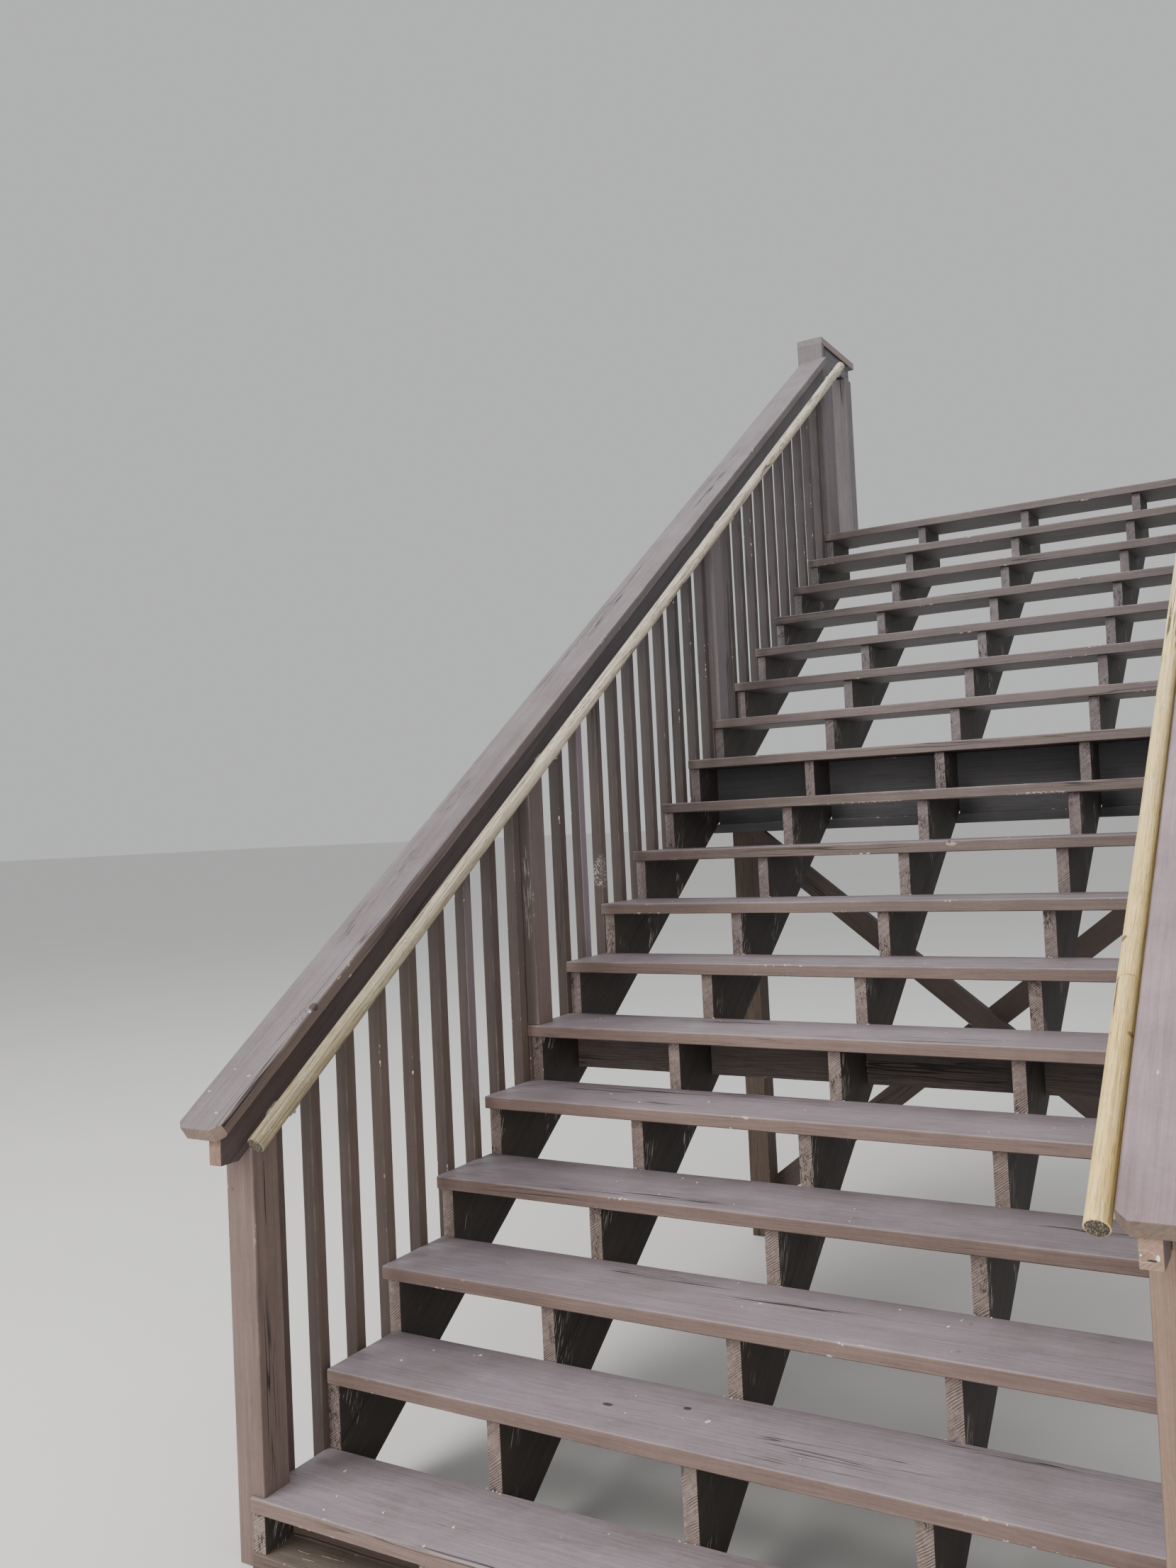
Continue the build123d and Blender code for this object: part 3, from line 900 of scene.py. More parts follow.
    def _describe(self, work: Mesh, box: tuple[Vector, Vector], draw: random.Random) -> None:
        """Writes the paint's attributes and lets each board wander, inside the node's box.

        Args:
            work: the boards, eased and divided.
            box: the node's lowest and highest corner.
            draw: the random draws.
        """
        grain_layer = work.verts.layers.float_vector.new("grain")
        tone_layer = work.verts.layers.float.new("tone")
        cut_layer = work.faces.layers.float.new("cut")
        wear = work.verts.layers.float["wear"]
        work.normal_update()
        for part in loose_parts(work):
            grain = self._grain_of(part)
            along, wide, thick = grain.along, grain.wide, grain.thick
            middle = sum((vert.co for vert in part), Vector()) / len(part)
            pith = Vector((draw.uniform(0, 60), draw.uniform(-0.07, 0.07), draw.uniform(0.03, 0.12)))
            tone = draw.random()
            seed = draw.uniform(0, 100)
            reach = [vert.co.dot(along) for vert in part]
            bow = self.bow * min(1.0, (max(reach) - min(reach)) / 1.2)
            for face in {face for vert in part for face in vert.link_faces}:
                face[cut_layer] = 1.0 if abs(face.normal.dot(along)) > self.end_on else 0.0
            moved = []
            for vert in part:
                away = vert.co - middle
                local = Vector((away.dot(along), away.dot(wide), away.dot(thick)))
                vert[grain_layer] = local + pith
                vert[tone_layer] = tone
                way = local.x * 0.9
                drift = wide * noise.noise((way, seed, 0)) + thick * noise.noise((way, seed, 9))
                waver = noise.noise((local.x * 17, local.y * 30 + seed, local.z * 30))
                waver *= self.ripple * (0.35 + 0.65 * vert[wear])
                room = self.hold * min(edge.calc_length() for edge in vert.link_edges)
                moved.append((vert, vert.co + drift * bow + vert.normal * max(-room, min(room, waver))))
            for vert, place in moved:
                vert.co = [min(max(value, low), high) for value, low, high in zip(place, *box)]


def loose_parts(work: Mesh) -> list[list[Vert]]:
    """Sorts a mesh into its separate boards.

    Args:
        work: the mesh.

    Returns:
        The corners of each board, in a fixed order.
    """
    work.verts.ensure_lookup_table()
    seen: set[Vert] = set()
    parts = []
    for start in work.verts:
        if start in seen:
            continue
        seen.add(start)
        part, heap = [], [start]
        while heap:
            vert = heap.pop()
            part.append(vert)
            for edge in vert.link_edges:
                other = edge.other_vert(vert)
                if other not in seen:
                    seen.add(other)
                    heap.append(other)
        parts.append(part)
    return parts


def circle(count: int) -> list[Vector]:
    """Evenly spaced points on a flat circle of radius 1."""
    angles = (2 * math.pi * index / count for index in range(count))
    return [Vector((math.cos(angle), math.sin(angle))) for angle in angles]


def lofted(work: Mesh, rings: list[list[Vert]]) -> list[Face]:
    """Skins a row of rings of equal count into a closed solid.

    Args:
        work: the mesh that holds them.
        rings: the rings' vertices, from the bottom up.

    Returns:
        The faces ring by ring, and then the two ends.
    """
    faces = []
    for low, high in zip(rings, rings[1:]):
        for index in range(len(low)):
            after = (index + 1) % len(low)
            faces.append(work.faces.new((low[index], low[after], high[after], high[index])))
    return faces + [work.faces.new(rings[0][::-1]), work.faces.new(rings[-1])]


@dataclass(frozen=True)
class Head:
    """Head of a nail or a screw.

    Attributes:
        profile: radius and height of each ring, from the bottom up.
        sides: how many faces go round.
    """

    profile: Layout
    sides: int = 12

    def drive(self, work: Mesh, place: Vector, normal: Vector) -> None:
        """Adds the head to a mesh.

        Args:
            work: the mesh.
            place: where it sits.
            normal: where it points.
        """
        at = Matrix.Translation(place) @ normal.to_track_quat("Z", "Y").to_matrix().to_4x4()
        rings = []
        for radius, height in self.profile:
            spots = [Vector((*(point * radius), height)) for point in circle(self.sides)]
            rings.append([work.verts.new(at @ spot) for spot in spots])
        lofted(work, rings)


TREAD_SCREW = Head(((0.0042, -0.001), (0.0042, 0.0009), (0.00336, 0.0011), (0.00126, 0.0004)))
PICKET_NAIL = Head(((0.0034, -0.002), (0.0034, 0.0004), (0.00306, 0.0008), (0.00153, 0.0009)))
CAP_NAIL = replace(PICKET_NAIL, sides=14)
BRACKET_SCREW = Head(((0.0036, -0.0005), (0.0036, 0.0006), (0.0026, 0.0018), (0.0010, 0.0021)), 14)


@dataclass
class Flight:
    """Treads and stringers, with the screws that hold the treads."""

    shop: Workshop
    tread_seed: int = 100
    stringer_seed: int = 200
    screw_seed: int = 31
    screw_setbacks: tuple[float, ...] = (0.045, 0.215)
    screw_wander: tuple[float, float] = (0.009, 0.012)
    screw_sunk: float = 0.0012
    treads: Joinery = Joinery(spacing=0.09, bow=0.0014, ripple=0.0007)
    stringers: Joinery = Joinery(spacing=0.12, bow=0.0008, ripple=0.0006)

    def build(self) -> None:
        """Cuts the treads and the stringers, and drives the screws."""
        for number in range(1, TREAD_COUNT + 1):
            seed = self.tread_seed + number
            self.treads.cut(self.shop, f"tread_{number:02d}", "painted_tread", TREAD_PAINT, seed)
        for number in range(1, len(STRINGER_PLACES) + 1):
            seed = self.stringer_seed + number
            self.stringers.cut(self.shop, f"stringer_{number}", "painted_frame", STRINGER_PAINT_IN_PAINTED_SHADE, seed)
        self._screws()

    def _screws(self) -> None:
        """Two countersunk heads over each inner stringer on every tread, painted over."""
        draw = random.Random(self.screw_seed)
        work = bmesh.new()
        aside, along = self.screw_wander
        for number in range(1, TREAD_COUNT + 1):
            for centre in STRINGER_PLACES[1:-1]:
                for setback in self.screw_setbacks:
                    x = centre + draw.uniform(-aside, aside)
                    y = tread_front(number) + setback + draw.uniform(-along, along)
                    TREAD_SCREW.drive(work, Vector((x, y, tread_top(number) - self.screw_sunk)), UP)
        self.shop.place(work, "tread_screws", "painted_tread", PAINTED_HEADS)


@dataclass
class UnderFrame:
    """Sill, kickers, blocking and the bent under the flight."""

    shop: Workshop
    seed: int = 300
    boards: Joinery = Joinery(spacing=0.1, bow=0.001, ripple=0.0007)
    braces: Joinery = Joinery(spacing=0.1, grains=(Grain.FALLING, Grain.CLIMBING))

    def build(self) -> None:
        """Cuts the boards below the treads."""
        jobs = (
            ("ground_sill", self.boards, SILL_PAINT),
            ("kicker_boards", self.boards, SILL_PAINT),
            ("lower_blocking", self.boards, BLOCK_PAINT),
            ("upper_blocking", self.boards, UPPER_BLOCK_PAINT_IN_PAINTED_SHADE),
            ("bent_plate", self.boards, UPPER_BLOCK_PAINT_IN_PAINTED_SHADE),
            ("bent_posts", self.boards, POST_PAINT),
            ("bent_braces", self.braces, BRACE_PAINT),
        )
        for seed, (name, joinery, finish) in enumerate(jobs, start=self.seed):
            joinery.cut(self.shop, name, "weathered_wood", finish, seed)


@dataclass
class Guard:
    """Newels, pickets, sub-rail and cap of one side."""

    shop: Workshop
    side: str
    seed: int
    newel_paint: PaintFinish
    cap_paint: PaintFinish
    cap_nails: Layout
    newel_treads: tuple[int, ...] = (1, 6, 12, 18)
    newel_setback: float = 0.010
    newel_width: float = 0.089
    gap_above_newel: float = 0.020
    gap_below_newel: float = 0.008
    picket_pitch: float = 0.1425
    nail_heights: tuple[float, ...] = (0.045, 0.125, 1.045, 1.090)
    nail_wander: tuple[float, float] = (0.006, 0.008)
    nail_sunk: float = 0.0008
    cap_nail_sunk: float = 0.0013
    posts: Joinery = Joinery(arris=0.002, spacing=0.09, bow=0.001, ripple=0.0007)
    pickets: Joinery = Joinery(spacing=0.08, bow=0.0016)
    rails: Joinery = Joinery(spacing=0.1, ripple=0.0007)

    def build(self) -> None:
        """Cuts this side's guard and nails it."""
        jobs = (
            ("bottom_newel", self.posts, self.newel_paint),
            ("middle_newels", self.posts, self.newel_paint),
            ("top_newels", self.posts, self.newel_paint),
            ("balusters", self.pickets, PICKET_PAINT),
            ("subrail", self.rails, SUBRAIL_PAINT),
            ("cap_rail", self.rails, self.cap_paint),
        )
        for seed, (part, joinery, finish) in enumerate(jobs, start=self.seed):
            joinery.cut(self.shop, f"{self.side}_{part}", "painted_guard", finish, seed)
        self._picket_nails()
        self._cap_nails()

    def _picket_nails(self) -> None:
        """Two painted heads at the stringer and two at the sub-rail on every picket's outer face."""
        draw = random.Random(self.seed)
        work = bmesh.new()
        out = Vector((SIDES[self.side], 0, 0))
        along, up = self.nail_wander
        for front in self._picket_fronts():
            middle = front + PLANK / 2
            for height in self.nail_heights:
                y = middle + draw.uniform(-along, along)
                z = rake(height, middle) + draw.uniform(-up, up)
                place = Vector((0, y, z)) + out * (HALF_WIDTH + PLANK - self.nail_sunk)
                PICKET_NAIL.drive(work, place, out)
        self.shop.place(work, f"{self.side}_picket_nails", "painted_guard", PAINTED_HEADS)

    def _picket_fronts(self) -> list[float]:
        """Finds where the pickets stand between the newels.

        Returns:
            The places of their front faces along the run.
        """
        newels = [tread_front(number) + self.newel_setback for number in self.newel_treads]
        fronts = []
        for low, high in zip(newels, newels[1:]):
            first = low + self.newel_width + self.gap_above_newel
            last = high - self.gap_below_newel - PLANK
            count = round((last - first) / self.picket_pitch)
            fronts += [first + (last - first) * index / count for index in range(count + 1)]
        return fronts

    def _cap_nails(self) -> None:
        """Bare heads sunk in the cap, at the places that show."""
        work = bmesh.new()
        for x, y in self.cap_nails:
            place = Vector((x, y, rake(CAP_TOP, y))) - OUT_OF_THE_RAKE * self.cap_nail_sunk
            CAP_NAIL.drive(work, place, OUT_OF_THE_RAKE)
        self.shop.place(work, f"{self.side}_cap_nails", "painted_guard", DULL_HEADS)


@dataclass
class GraspRail:
    """Round handrail of one side, made of two dowels that meet end to end, on plated brackets."""

    shop: Workshop
    side: str
    seed: int
    finish: DowelFinish
    run_start: float
    splice: float
    run_end: float = FRONT + 4.5
    inset: float = 0.108
    height: float = 1.060
    radius: float = 0.0229
    hollow: float = 0.0005
    sides: int = 40
    spacing: float = 0.05
    gap: float = 0.0012
    end_round: float = 0.0022
    smooth_angle: float = 50.0
    bracket_runs: tuple[float, ...] = (0.067, 1.355, 2.888, 4.439)
    plate_below: float = 0.030
    plate_thickness: float = 0.0028
    screw_shift: float = 0.017

    def build(self) -> None:
        """Makes the dowels, and dresses the brackets and their screws."""
        draw = random.Random(self.seed)
        work = bmesh.new()
        work.verts.layers.float_vector.new("grain")
        work.verts.layers.float.new("tone")
        work.faces.layers.float.new("cut")
        half_gap = self.gap / 2 * math.cos(PITCH)
        self._dowel(work, self.run_start, self.splice - half_gap, draw)
        self._dowel(work, self.splice + half_gap, self.run_end, draw)
        name = f"{self.side}_handrail_dowels"
        piece = self.shop.place(work, name, "handrail_wood", self.finish, self.smooth_angle)
        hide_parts(f"{self.side}_handrail")
        self.shop.dress(self.shop.nodes[f"{self.side}_handrail_brackets"], ZINC)
        self._bracket_screws()

    def _bracket_screws(self) -> None:
        """Two domed screws through each bracket's plate."""
        work = bmesh.new()
        side = SIDES[self.side]
        for run in self.bracket_runs:
            y = FRONT + run
            centre = Vector((side * (HALF_WIDTH - PLANK - self.plate_thickness), y, rake(self.height, y)))
            centre -= OUT_OF_THE_RAKE * self.plate_below
            for shift in (-self.screw_shift, self.screw_shift):
                BRACKET_SCREW.drive(work, centre + UP_THE_RAKE * shift, Vector((-side, 0, 0)))
        self.shop.place(work, f"{self.side}_bracket_screws", "zinc_metal", ZINC)

    def _dowel(self, work: Mesh, start: float, end: float, draw: random.Random) -> None:
        """Adds one dowel, with its ends eased and its surface slightly hollowed by the weather.

        Args:
            work: the mesh, with its layers made.
            start: place of its lower end along the run.
            end: place of its upper end.
            draw: the random draws.
        """
        grain, tone = work.verts.layers.float_vector["grain"], work.verts.layers.float["tone"]
        cut = work.faces.layers.float["cut"]
        foot = Vector((SIDES[self.side] * (HALF_WIDTH - self.inset), start, rake(self.height, start)))
        length = (end - start) / math.cos(PITCH)
        count = max(2, round(length / self.spacing))
        core, eased, ease = self.radius * 0.55, self.radius - self.end_round, self.end_round * 0.8
        stations = [(0.0, core), (0.0, eased), (ease, self.radius)]
        for k in range(1, count):
            stations.append((self.end_round + (length - 2 * self.end_round) * k / count, self.radius))
        stations += [(length - ease, self.radius), (length, eased), (length, core)]
        offset, shade, seed = draw.uniform(0, 60), draw.random(), draw.uniform(0, 50)
        rings = []
        for along, radius in stations:
            ring = []
            for x, y in circle(self.sides):
                dip = 0.5 + 0.5 * noise.noise((along * 9, x * 1.4 + seed, y * 1.4))
                true = radius - self.hollow * dip
                out = (SIDEWAYS * x + OUT_OF_THE_RAKE * y) * true
                vert = work.verts.new(foot + UP_THE_RAKE * along + out)
                vert[grain] = (along + offset, x * true, y * true)
                vert[tone] = shade
                ring.append(vert)
            rings.append(ring)
        faces = lofted(work, rings)
        for face in faces[: self.sides] + faces[-self.sides - 2 :]:
            face[cut] = 1.0


@dataclass
class Litter:
    """Flakes of paint on the treads, and straws on the sill.

    Attributes:
        flakes: the larger ones: two places, the tread's number and the size.
        loose_treads: treads that the small ones are drawn from, more often where a tread is named twice.
        heap_treads: treads with a few more at the riser cuts' feet.
        heap_sizes: how many lie at one foot, drawn from these.
        straw_span: lowest and highest place of a straw's start, along X and then along Y.
    """

    shop: Workshop
    flakes: tuple[tuple[float, float, int, float], ...] = (
        (-0.917, 0.057, 1, 0.006), (-0.852, -0.048, 1, 0.005), (-0.838, -0.109, 1, 0.004),
        (-0.701, -0.058, 1, 0.006), (-0.527, -0.130, 1, 0.005), (-0.513, -0.039, 1, 0.005),
        (-0.876, 0.240, 2, 0.005), (-0.837, 0.327, 2, 0.004), (-0.703, 0.352, 2, 0.006),
        (-0.005, 0.257, 2, 0.009), (0.488, 0.607, 3, 0.006), (0.470, 0.558, 3, 0.005),
        (0.021, 0.523, 3, 0.005), (0.340, 0.615, 3, 0.004), (-0.086, 0.630, 3, 0.004),
    )
    flake_seed: int = 71
    flake_sides: int = 9
    flake_crown: float = 0.0016
    loose_count: int = 60
    loose_treads: tuple[int, ...] = (1, 2, 2, 3, 3, 4, 4, 5, 5, 6, 7, 8, 9, 10, 12, 14)
    loose_reach: float = 0.98
    heap_treads: tuple[int, ...] = (1, 2, 3, 4, 5, 6, 7, 8, 9, 10)
    heap_sizes: tuple[int, ...] = (1, 3, 5)
    heap_half_width: float = 0.026
    nosing: float = 0.025
    straw_seed: int = 72
    straw_count: int = 46
    straw_sides: int = 5
    straw_span: Layout = ((-0.97, 0.90), (-0.125, -0.075))
    straw_limits: tuple[float, float] = (-0.138, -0.044)
    straw_lift: float = 0.0006

    def build(self) -> None:
        """Scatters the flakes and the straws."""
        self._flakes(random.Random(self.flake_seed))
        self._straws(random.Random(self.straw_seed))

    def _flakes(self, draw: random.Random) -> None:
        """Small ragged chips that lie on the treads.

        Args:
            draw: the random draws.
        """
        work = bmesh.new()
        places = list(self.flakes)
        for _ in range(self.loose_count):
            number = draw.choice(self.loose_treads)
            y = tread_front(number) + draw.uniform(0.02, 0.24)
            x = draw.uniform(-self.loose_reach, self.loose_reach)
            places.append((x, y, number, draw.uniform(0.0015, 0.0035)))
        for number in self.heap_treads:
            for centre in STRINGER_PLACES[1:-1]:
                for _ in range(draw.choice(self.heap_sizes)):
                    y = tread_front(number + 1) + self.nosing - draw.uniform(0.003, 0.012)
                    x = centre + draw.uniform(-self.heap_half_width, self.heap_half_width)
                    places.append((x, y, number, draw.uniform(0.0016, 0.0040)))
        for x, y, number, size in places:
            self._flake(work, Vector((x, y, tread_top(number) - 0.0001)), size, draw)
        self.shop.place(work, "paint_flakes", "painted_tread", FLAKE_PAINT)

    def _flake(self, work: Mesh, place: Vector, size: float, draw: random.Random) -> None:
        """Adds one chip: an uneven outline with a little thickness.

        Args:
            work: the mesh.
            place: its middle, on the tread.
            size: about half its length.
            draw: the random draws.
        """
        turn = Matrix.Rotation(draw.uniform(0, math.pi), 3, "Z")
        squash = draw.uniform(0.35, 0.8)
        low, high = [], []
        for x, y in circle(self.flake_sides):
            reach = size * draw.uniform(0.6, 1.1)
            spot = place + turn @ Vector((reach * x, reach * y * squash, 0))
            low.append(work.verts.new(spot))
            high.append(work.verts.new(spot + UP * draw.uniform(0.0006, 0.0016)))
        crown = work.verts.new(place + UP * self.flake_crown)
        for index in range(self.flake_sides):
            after = (index + 1) % self.flake_sides
            work.faces.new((low[index], low[after], high[after], high[index]))
            work.faces.new((high[index], high[after], crown))
        work.faces.new(low[::-1])

    def _straws(self, draw: random.Random) -> None:
        """Bent straws that lie on the sill in front of the kickers.

        Args:
            draw: the random draws.
        """
        work = bmesh.new()
        steps = 5
        for _ in range(self.straw_count):
            heading = draw.uniform(-0.7, 0.7)
            length = draw.uniform(0.02, 0.075)
            x, y = (draw.uniform(*span) for span in self.straw_span)
            place = Vector((x, y, PLANK + self.straw_lift))
            bend = draw.uniform(-1.2, 1.2)
            points = []
            for step in range(steps + 1):
                angle = heading + bend * step / steps
                points.append(place.copy())
                place += Vector((math.cos(angle), math.sin(angle) * 0.35, 0)) * length / steps
                place.y = min(max(place.y, self.straw_limits[0]), self.straw_limits[1])
                place.z = PLANK + self.straw_lift + draw.uniform(0, 0.0015)
            self._straw(work, points, draw.uniform(0.0005, 0.0009))
        self.shop.place(work, "sill_straws", "weathered_wood", STRAW)

    def _straw(self, work: Mesh, points: Sequence[Vector], radius: float) -> None:
        """Adds one thin closed stalk.

        Args:
            work: the mesh.
            points: what it runs through.
            radius: its radius at the thick end.
        """
        rings = []
        for index, centre in enumerate(points):
            ahead = points[min(index + 1, len(points) - 1)] - points[max(index - 1, 0)]
            side = ahead.cross(UP).normalized()
            above = side.cross(ahead).normalized()
            thin = radius * (1.0 - 0.5 * index / len(points))
            spots = [centre + (side * x + above * y) * thin for x, y in circle(self.straw_sides)]
            rings.append([work.verts.new(spot) for spot in spots])
        lofted(work, rings)


@dataclass
class Studio:
    """Pale floor, soft lights and the camera at the photograph's viewing angle."""

    eye: Triple = (1.33574, -2.42584, 1.74098)
    pitch: float = 0.03326
    roll: float = -0.0469
    yaw: float = 0.53157
    lens: float = 19.854
    sensor: float = 24.0
    floor_half: float = 300.0
    room: Colour = (0.88, 0.89, 0.90)
    room_strength: float = 0.66
    lights: tuple[tuple[str, Triple, Triple, float, float, Colour], ...] = (
        ("sky", (-4.5, -6.0, 8.5), (0.0, 1.2, 1.0), 6.0, 1050.0, (1.0, 0.97, 0.94)),
        ("front", (2.5, -8.0, 3.0), (0.0, 1.5, 1.4), 5.0, 260.0, (1.0, 0.94, 0.88)),
        ("above", (0.0, 3.0, 10.0), (0.0, 2.2, 1.5), 7.0, 420.0, (0.95, 0.97, 1.0)),
        ("side", (6.5, -3.5, 3.5), (0.0, 1.5, 1.5), 6.0, 170.0, (1.0, 0.96, 0.92)),
    )

    def build(self) -> None:
        """Makes the floor, the lights, the world and the camera."""
        self._floor()
        for name, place, target, size, power, colour in self.lights:
            lamp = bpy.data.lights.new(name, "AREA")
            lamp.size = size
            lamp.energy = power
            lamp.color = colour
            holder = bpy.data.objects.new(name, lamp)
            bpy.context.scene.collection.objects.link(holder)
            holder.location = place
            holder.rotation_mode = "QUATERNION"
            holder.rotation_quaternion = (Vector(target) - Vector(place)).to_track_quat("-Z", "Y")
        world = bpy.data.worlds.new("pale room")
        world.use_nodes = True
        background = world.node_tree.nodes["Background"]
        background.inputs["Color"].default_value = (*self.room, 1.0)
        background.inputs["Strength"].default_value = self.room_strength
        bpy.context.scene.world = world
        self._camera()

    def _floor(self) -> None:
        """Pale level floor under the sill."""
        work = bmesh.new()
        corners = [(-1, -1), (1, -1), (1, 1), (-1, 1)]
        work.faces.new([work.verts.new((x * self.floor_half, y * self.floor_half, 0.0)) for x, y in corners])
        mesh = bpy.data.meshes.new("floor")
        work.to_mesh(mesh)
        work.free()
        floor = bpy.data.objects.new("floor", mesh)
        bpy.context.scene.collection.objects.link(floor)
        p = Palette("pale floor")
        soft = p.clouds(p.position(), (1.25, 1.25, 1.25))
        colour = p.mix(soft, (0.73, 0.72, 0.70), (0.78, 0.77, 0.75))
        floor.data.materials.append(p.finish(colour, soft * 0.1 + 0.75, soft, 0.0002))

    def _camera(self) -> None:
        """Camera solved from the photograph, with no depth of field."""
        ahead = Vector(
            (
                -math.sin(self.yaw) * math.cos(self.pitch),
                math.cos(self.yaw) * math.cos(self.pitch),
                math.sin(self.pitch),
            )
        )
        level_right = Vector((math.cos(self.yaw), math.sin(self.yaw), 0.0))
        level_up = level_right.cross(ahead)
        right = level_right * math.cos(self.roll) + level_up * math.sin(self.roll)
        up = right.cross(ahead)
        data = bpy.data.cameras.new("camera")
        data.sensor_fit = "VERTICAL"
        data.sensor_height = self.sensor
        data.lens = self.lens
        data.clip_end = 600.0
        camera = bpy.data.objects.new("camera", data)
        bpy.context.scene.collection.objects.link(camera)
        turn = Matrix((right, up, -ahead)).transposed().to_4x4()
        camera.matrix_world = Matrix.Translation(Vector(self.eye)) @ turn
        bpy.context.scene.camera = camera


# Weathered top coat with a painted sky reflection on it.
FADED_AND_SKY_SHEEN = (0.235, 0.195, 0.205)
# Painted shade for undersides.
UNDERSIDE_PAINTED_SHADE = (0.036, 0.027, 0.024)
WHITISH = (0.55, 0.52, 0.49)
DARK = (0.030, 0.020, 0.017)

TREAD_PAINT = PaintFinish(
    "tread paint", (0.165, 0.114, 0.098), (0.258, 0.226, 0.256), UNDERSIDE_PAINTED_SHADE, (0.17, 0.125, 0.11),
    high=(0.150, 0.128, 0.128), ink=0.30, checks=0.15, cracks=0.34, chips=0.45, brushed=0.3, gloss=0.42,
    marks=(
        Mark((-0.077, 0.299, 0.380), (0.011, 0.008, 0.008), (0.055, 0.038, 0.032)),
        Mark((-0.258, 0.241, 0.380), (0.016, 0.009, 0.008), (0.060, 0.042, 0.038)),
        Mark((0.172, 1.929, 1.629), (0.020, 0.008, 0.007), (0.42, 0.34, 0.27), 0.85, 1.1),
        Mark((0.166, 1.929, 1.640), (0.004, 0.008, 0.010), DARK, 0.9, 0.9),
        Mark((0.410, 2.188, 1.784), (0.110, 0.010, 0.008), (0.62, 0.58, 0.53), 0.9, 0.5, Spread.SCALES),
        Mark((-0.160, 2.188, 1.783), (0.150, 0.009, 0.006), (0.62, 0.58, 0.53), 0.7, 0.6, Spread.SCALES),
    ),
)
# The stringers' dark coat is a painted shade on their sides; the sawn colour on the riser cuts is the paint's
# own brown.
STRINGER_PAINT_IN_PAINTED_SHADE = PaintFinish(
    "stringer paint in painted shade", (0.042, 0.033, 0.029), (0.06, 0.05, 0.048), (0.022, 0.018, 0.017),
    (0.245, 0.190, 0.172), high=(0.060, 0.052, 0.050), sawn_high=(0.225, 0.198, 0.205), chips=0.4,
    scuffs=1.0, ink=0.35, cracks=0.2, brushed=0.45, gloss=0.6, flecks=0.2, sawing=1.0, relief=0.0012,
)
# Newels: the negative front-face setting paints light on their fronts; two marks below are painted shade and
# painted light.
NEWEL_PAINT = PaintFinish(
    "newel paint", (0.133, 0.095, 0.082), FADED_AND_SKY_SHEEN, UNDERSIDE_PAINTED_SHADE, (0.17, 0.13, 0.11),
    high=(0.148, 0.136, 0.146), checks=0.1, cracks=0.2, ink=0.22, brushed=0.35, front_face_shade=-0.22,
    marks=(
        Mark((-1.004, -0.094, 0.890), (0.02, 0.0022, 0.095), DARK, ragged=0.5),
        # Painted shade over the front of the newel on tread 6.
        Mark((-1.048, 1.162, 1.500), (0.060, 0.008, 0.62), (0.062, 0.052, 0.048), 0.6, 0.1),
        Mark((-1.026, 1.162, 1.540), (0.016, 0.01, 0.17), (0.46, 0.44, 0.41), 0.8, 0.5, Spread.CHECKS),
        # Painted light on the inner side of the newel on tread 12.
        Mark((-1.004, 2.760, 2.600), (0.008, 0.075, 0.62), (0.160, 0.142, 0.152), 0.8, 0.1),
        Mark((-1.072, -0.133, 0.900), (0.005, 0.005, 0.005), (0.10, 0.075, 0.065)),
        Mark((-1.042, 2.753, 2.858), (0.02, 0.03, 0.05), (0.30, 0.27, 0.26), 0.8, 0.5, Spread.SCALES),
        Mark((-1.042, 2.705, 2.447), (0.02, 0.03, 0.06), (0.26, 0.23, 0.22), 0.8, 0.5, Spread.SCALES),
    ),
)
# The right newel's orange coat is a painted sunlight on the same paint as the left.
NEWEL_PAINT_IN_PAINTED_SUN = replace(NEWEL_PAINT, name="right newel paint in painted sunlight", coat=(0.200, 0.130, 0.098))
# Pickets: the front-face setting paints shade on their fronts.
PICKET_PAINT = PaintFinish(
    "picket paint", (0.110, 0.078, 0.066), (0.17, 0.14, 0.14), UNDERSIDE_PAINTED_SHADE, (0.12, 0.09, 0.08),
    high=(0.073, 0.066, 0.070), checks=0.15, ink=0.24, chips=0.42, front_face_shade=0.49,
    marks=(
        # The next two marks are painted light: pale lilac strips on the pickets' inner faces.
        Mark((-1.042, 0.850, 1.250), (0.004, 0.03, 0.42), (0.165, 0.135, 0.150), 0.8, 0.2),
        Mark((-1.042, 1.570, 1.780), (0.004, 0.03, 0.80), (0.230, 0.195, 0.230), 0.8, 0.2),
        Mark((-1.050, 1.700, 1.574), (0.04, 0.04, 0.07), (0.46, 0.43, 0.41), 0.75, 0.7, Spread.SCALES),
        Mark((-1.042, 3.029, 2.618), (0.03, 0.014, 0.014), (0.50, 0.48, 0.46), 0.8, 0.3, Spread.RING),
    ),
)
SUBRAIL_PAINT = PaintFinish(
    "sub-rail paint", (0.085, 0.060, 0.056), (0.15, 0.12, 0.12), UNDERSIDE_PAINTED_SHADE, (0.27, 0.175, 0.125),
    high=(0.120, 0.114, 0.126), checks=0.15, ink=0.35, brushed=0.35, gloss=0.42,
    marks=(
        Mark((1.012, -0.223, 1.027), (0.022, 0.01, 0.0115), (0.42, 0.33, 0.25), 0.8, 0.15, Spread.RING),
        Mark((1.033, -0.223, 1.026), (0.0032, 0.01, 0.006), (0.75, 0.70, 0.60), 1.0, 0.4),
        Mark((1.024, -0.223, 1.021), (0.009, 0.01, 0.0020), DARK, 1.0, 0.3),
        Mark((1.0075, -0.223, 1.028), (0.0018, 0.01, 0.0018), (0.75, 0.70, 0.60)),
    ),
)
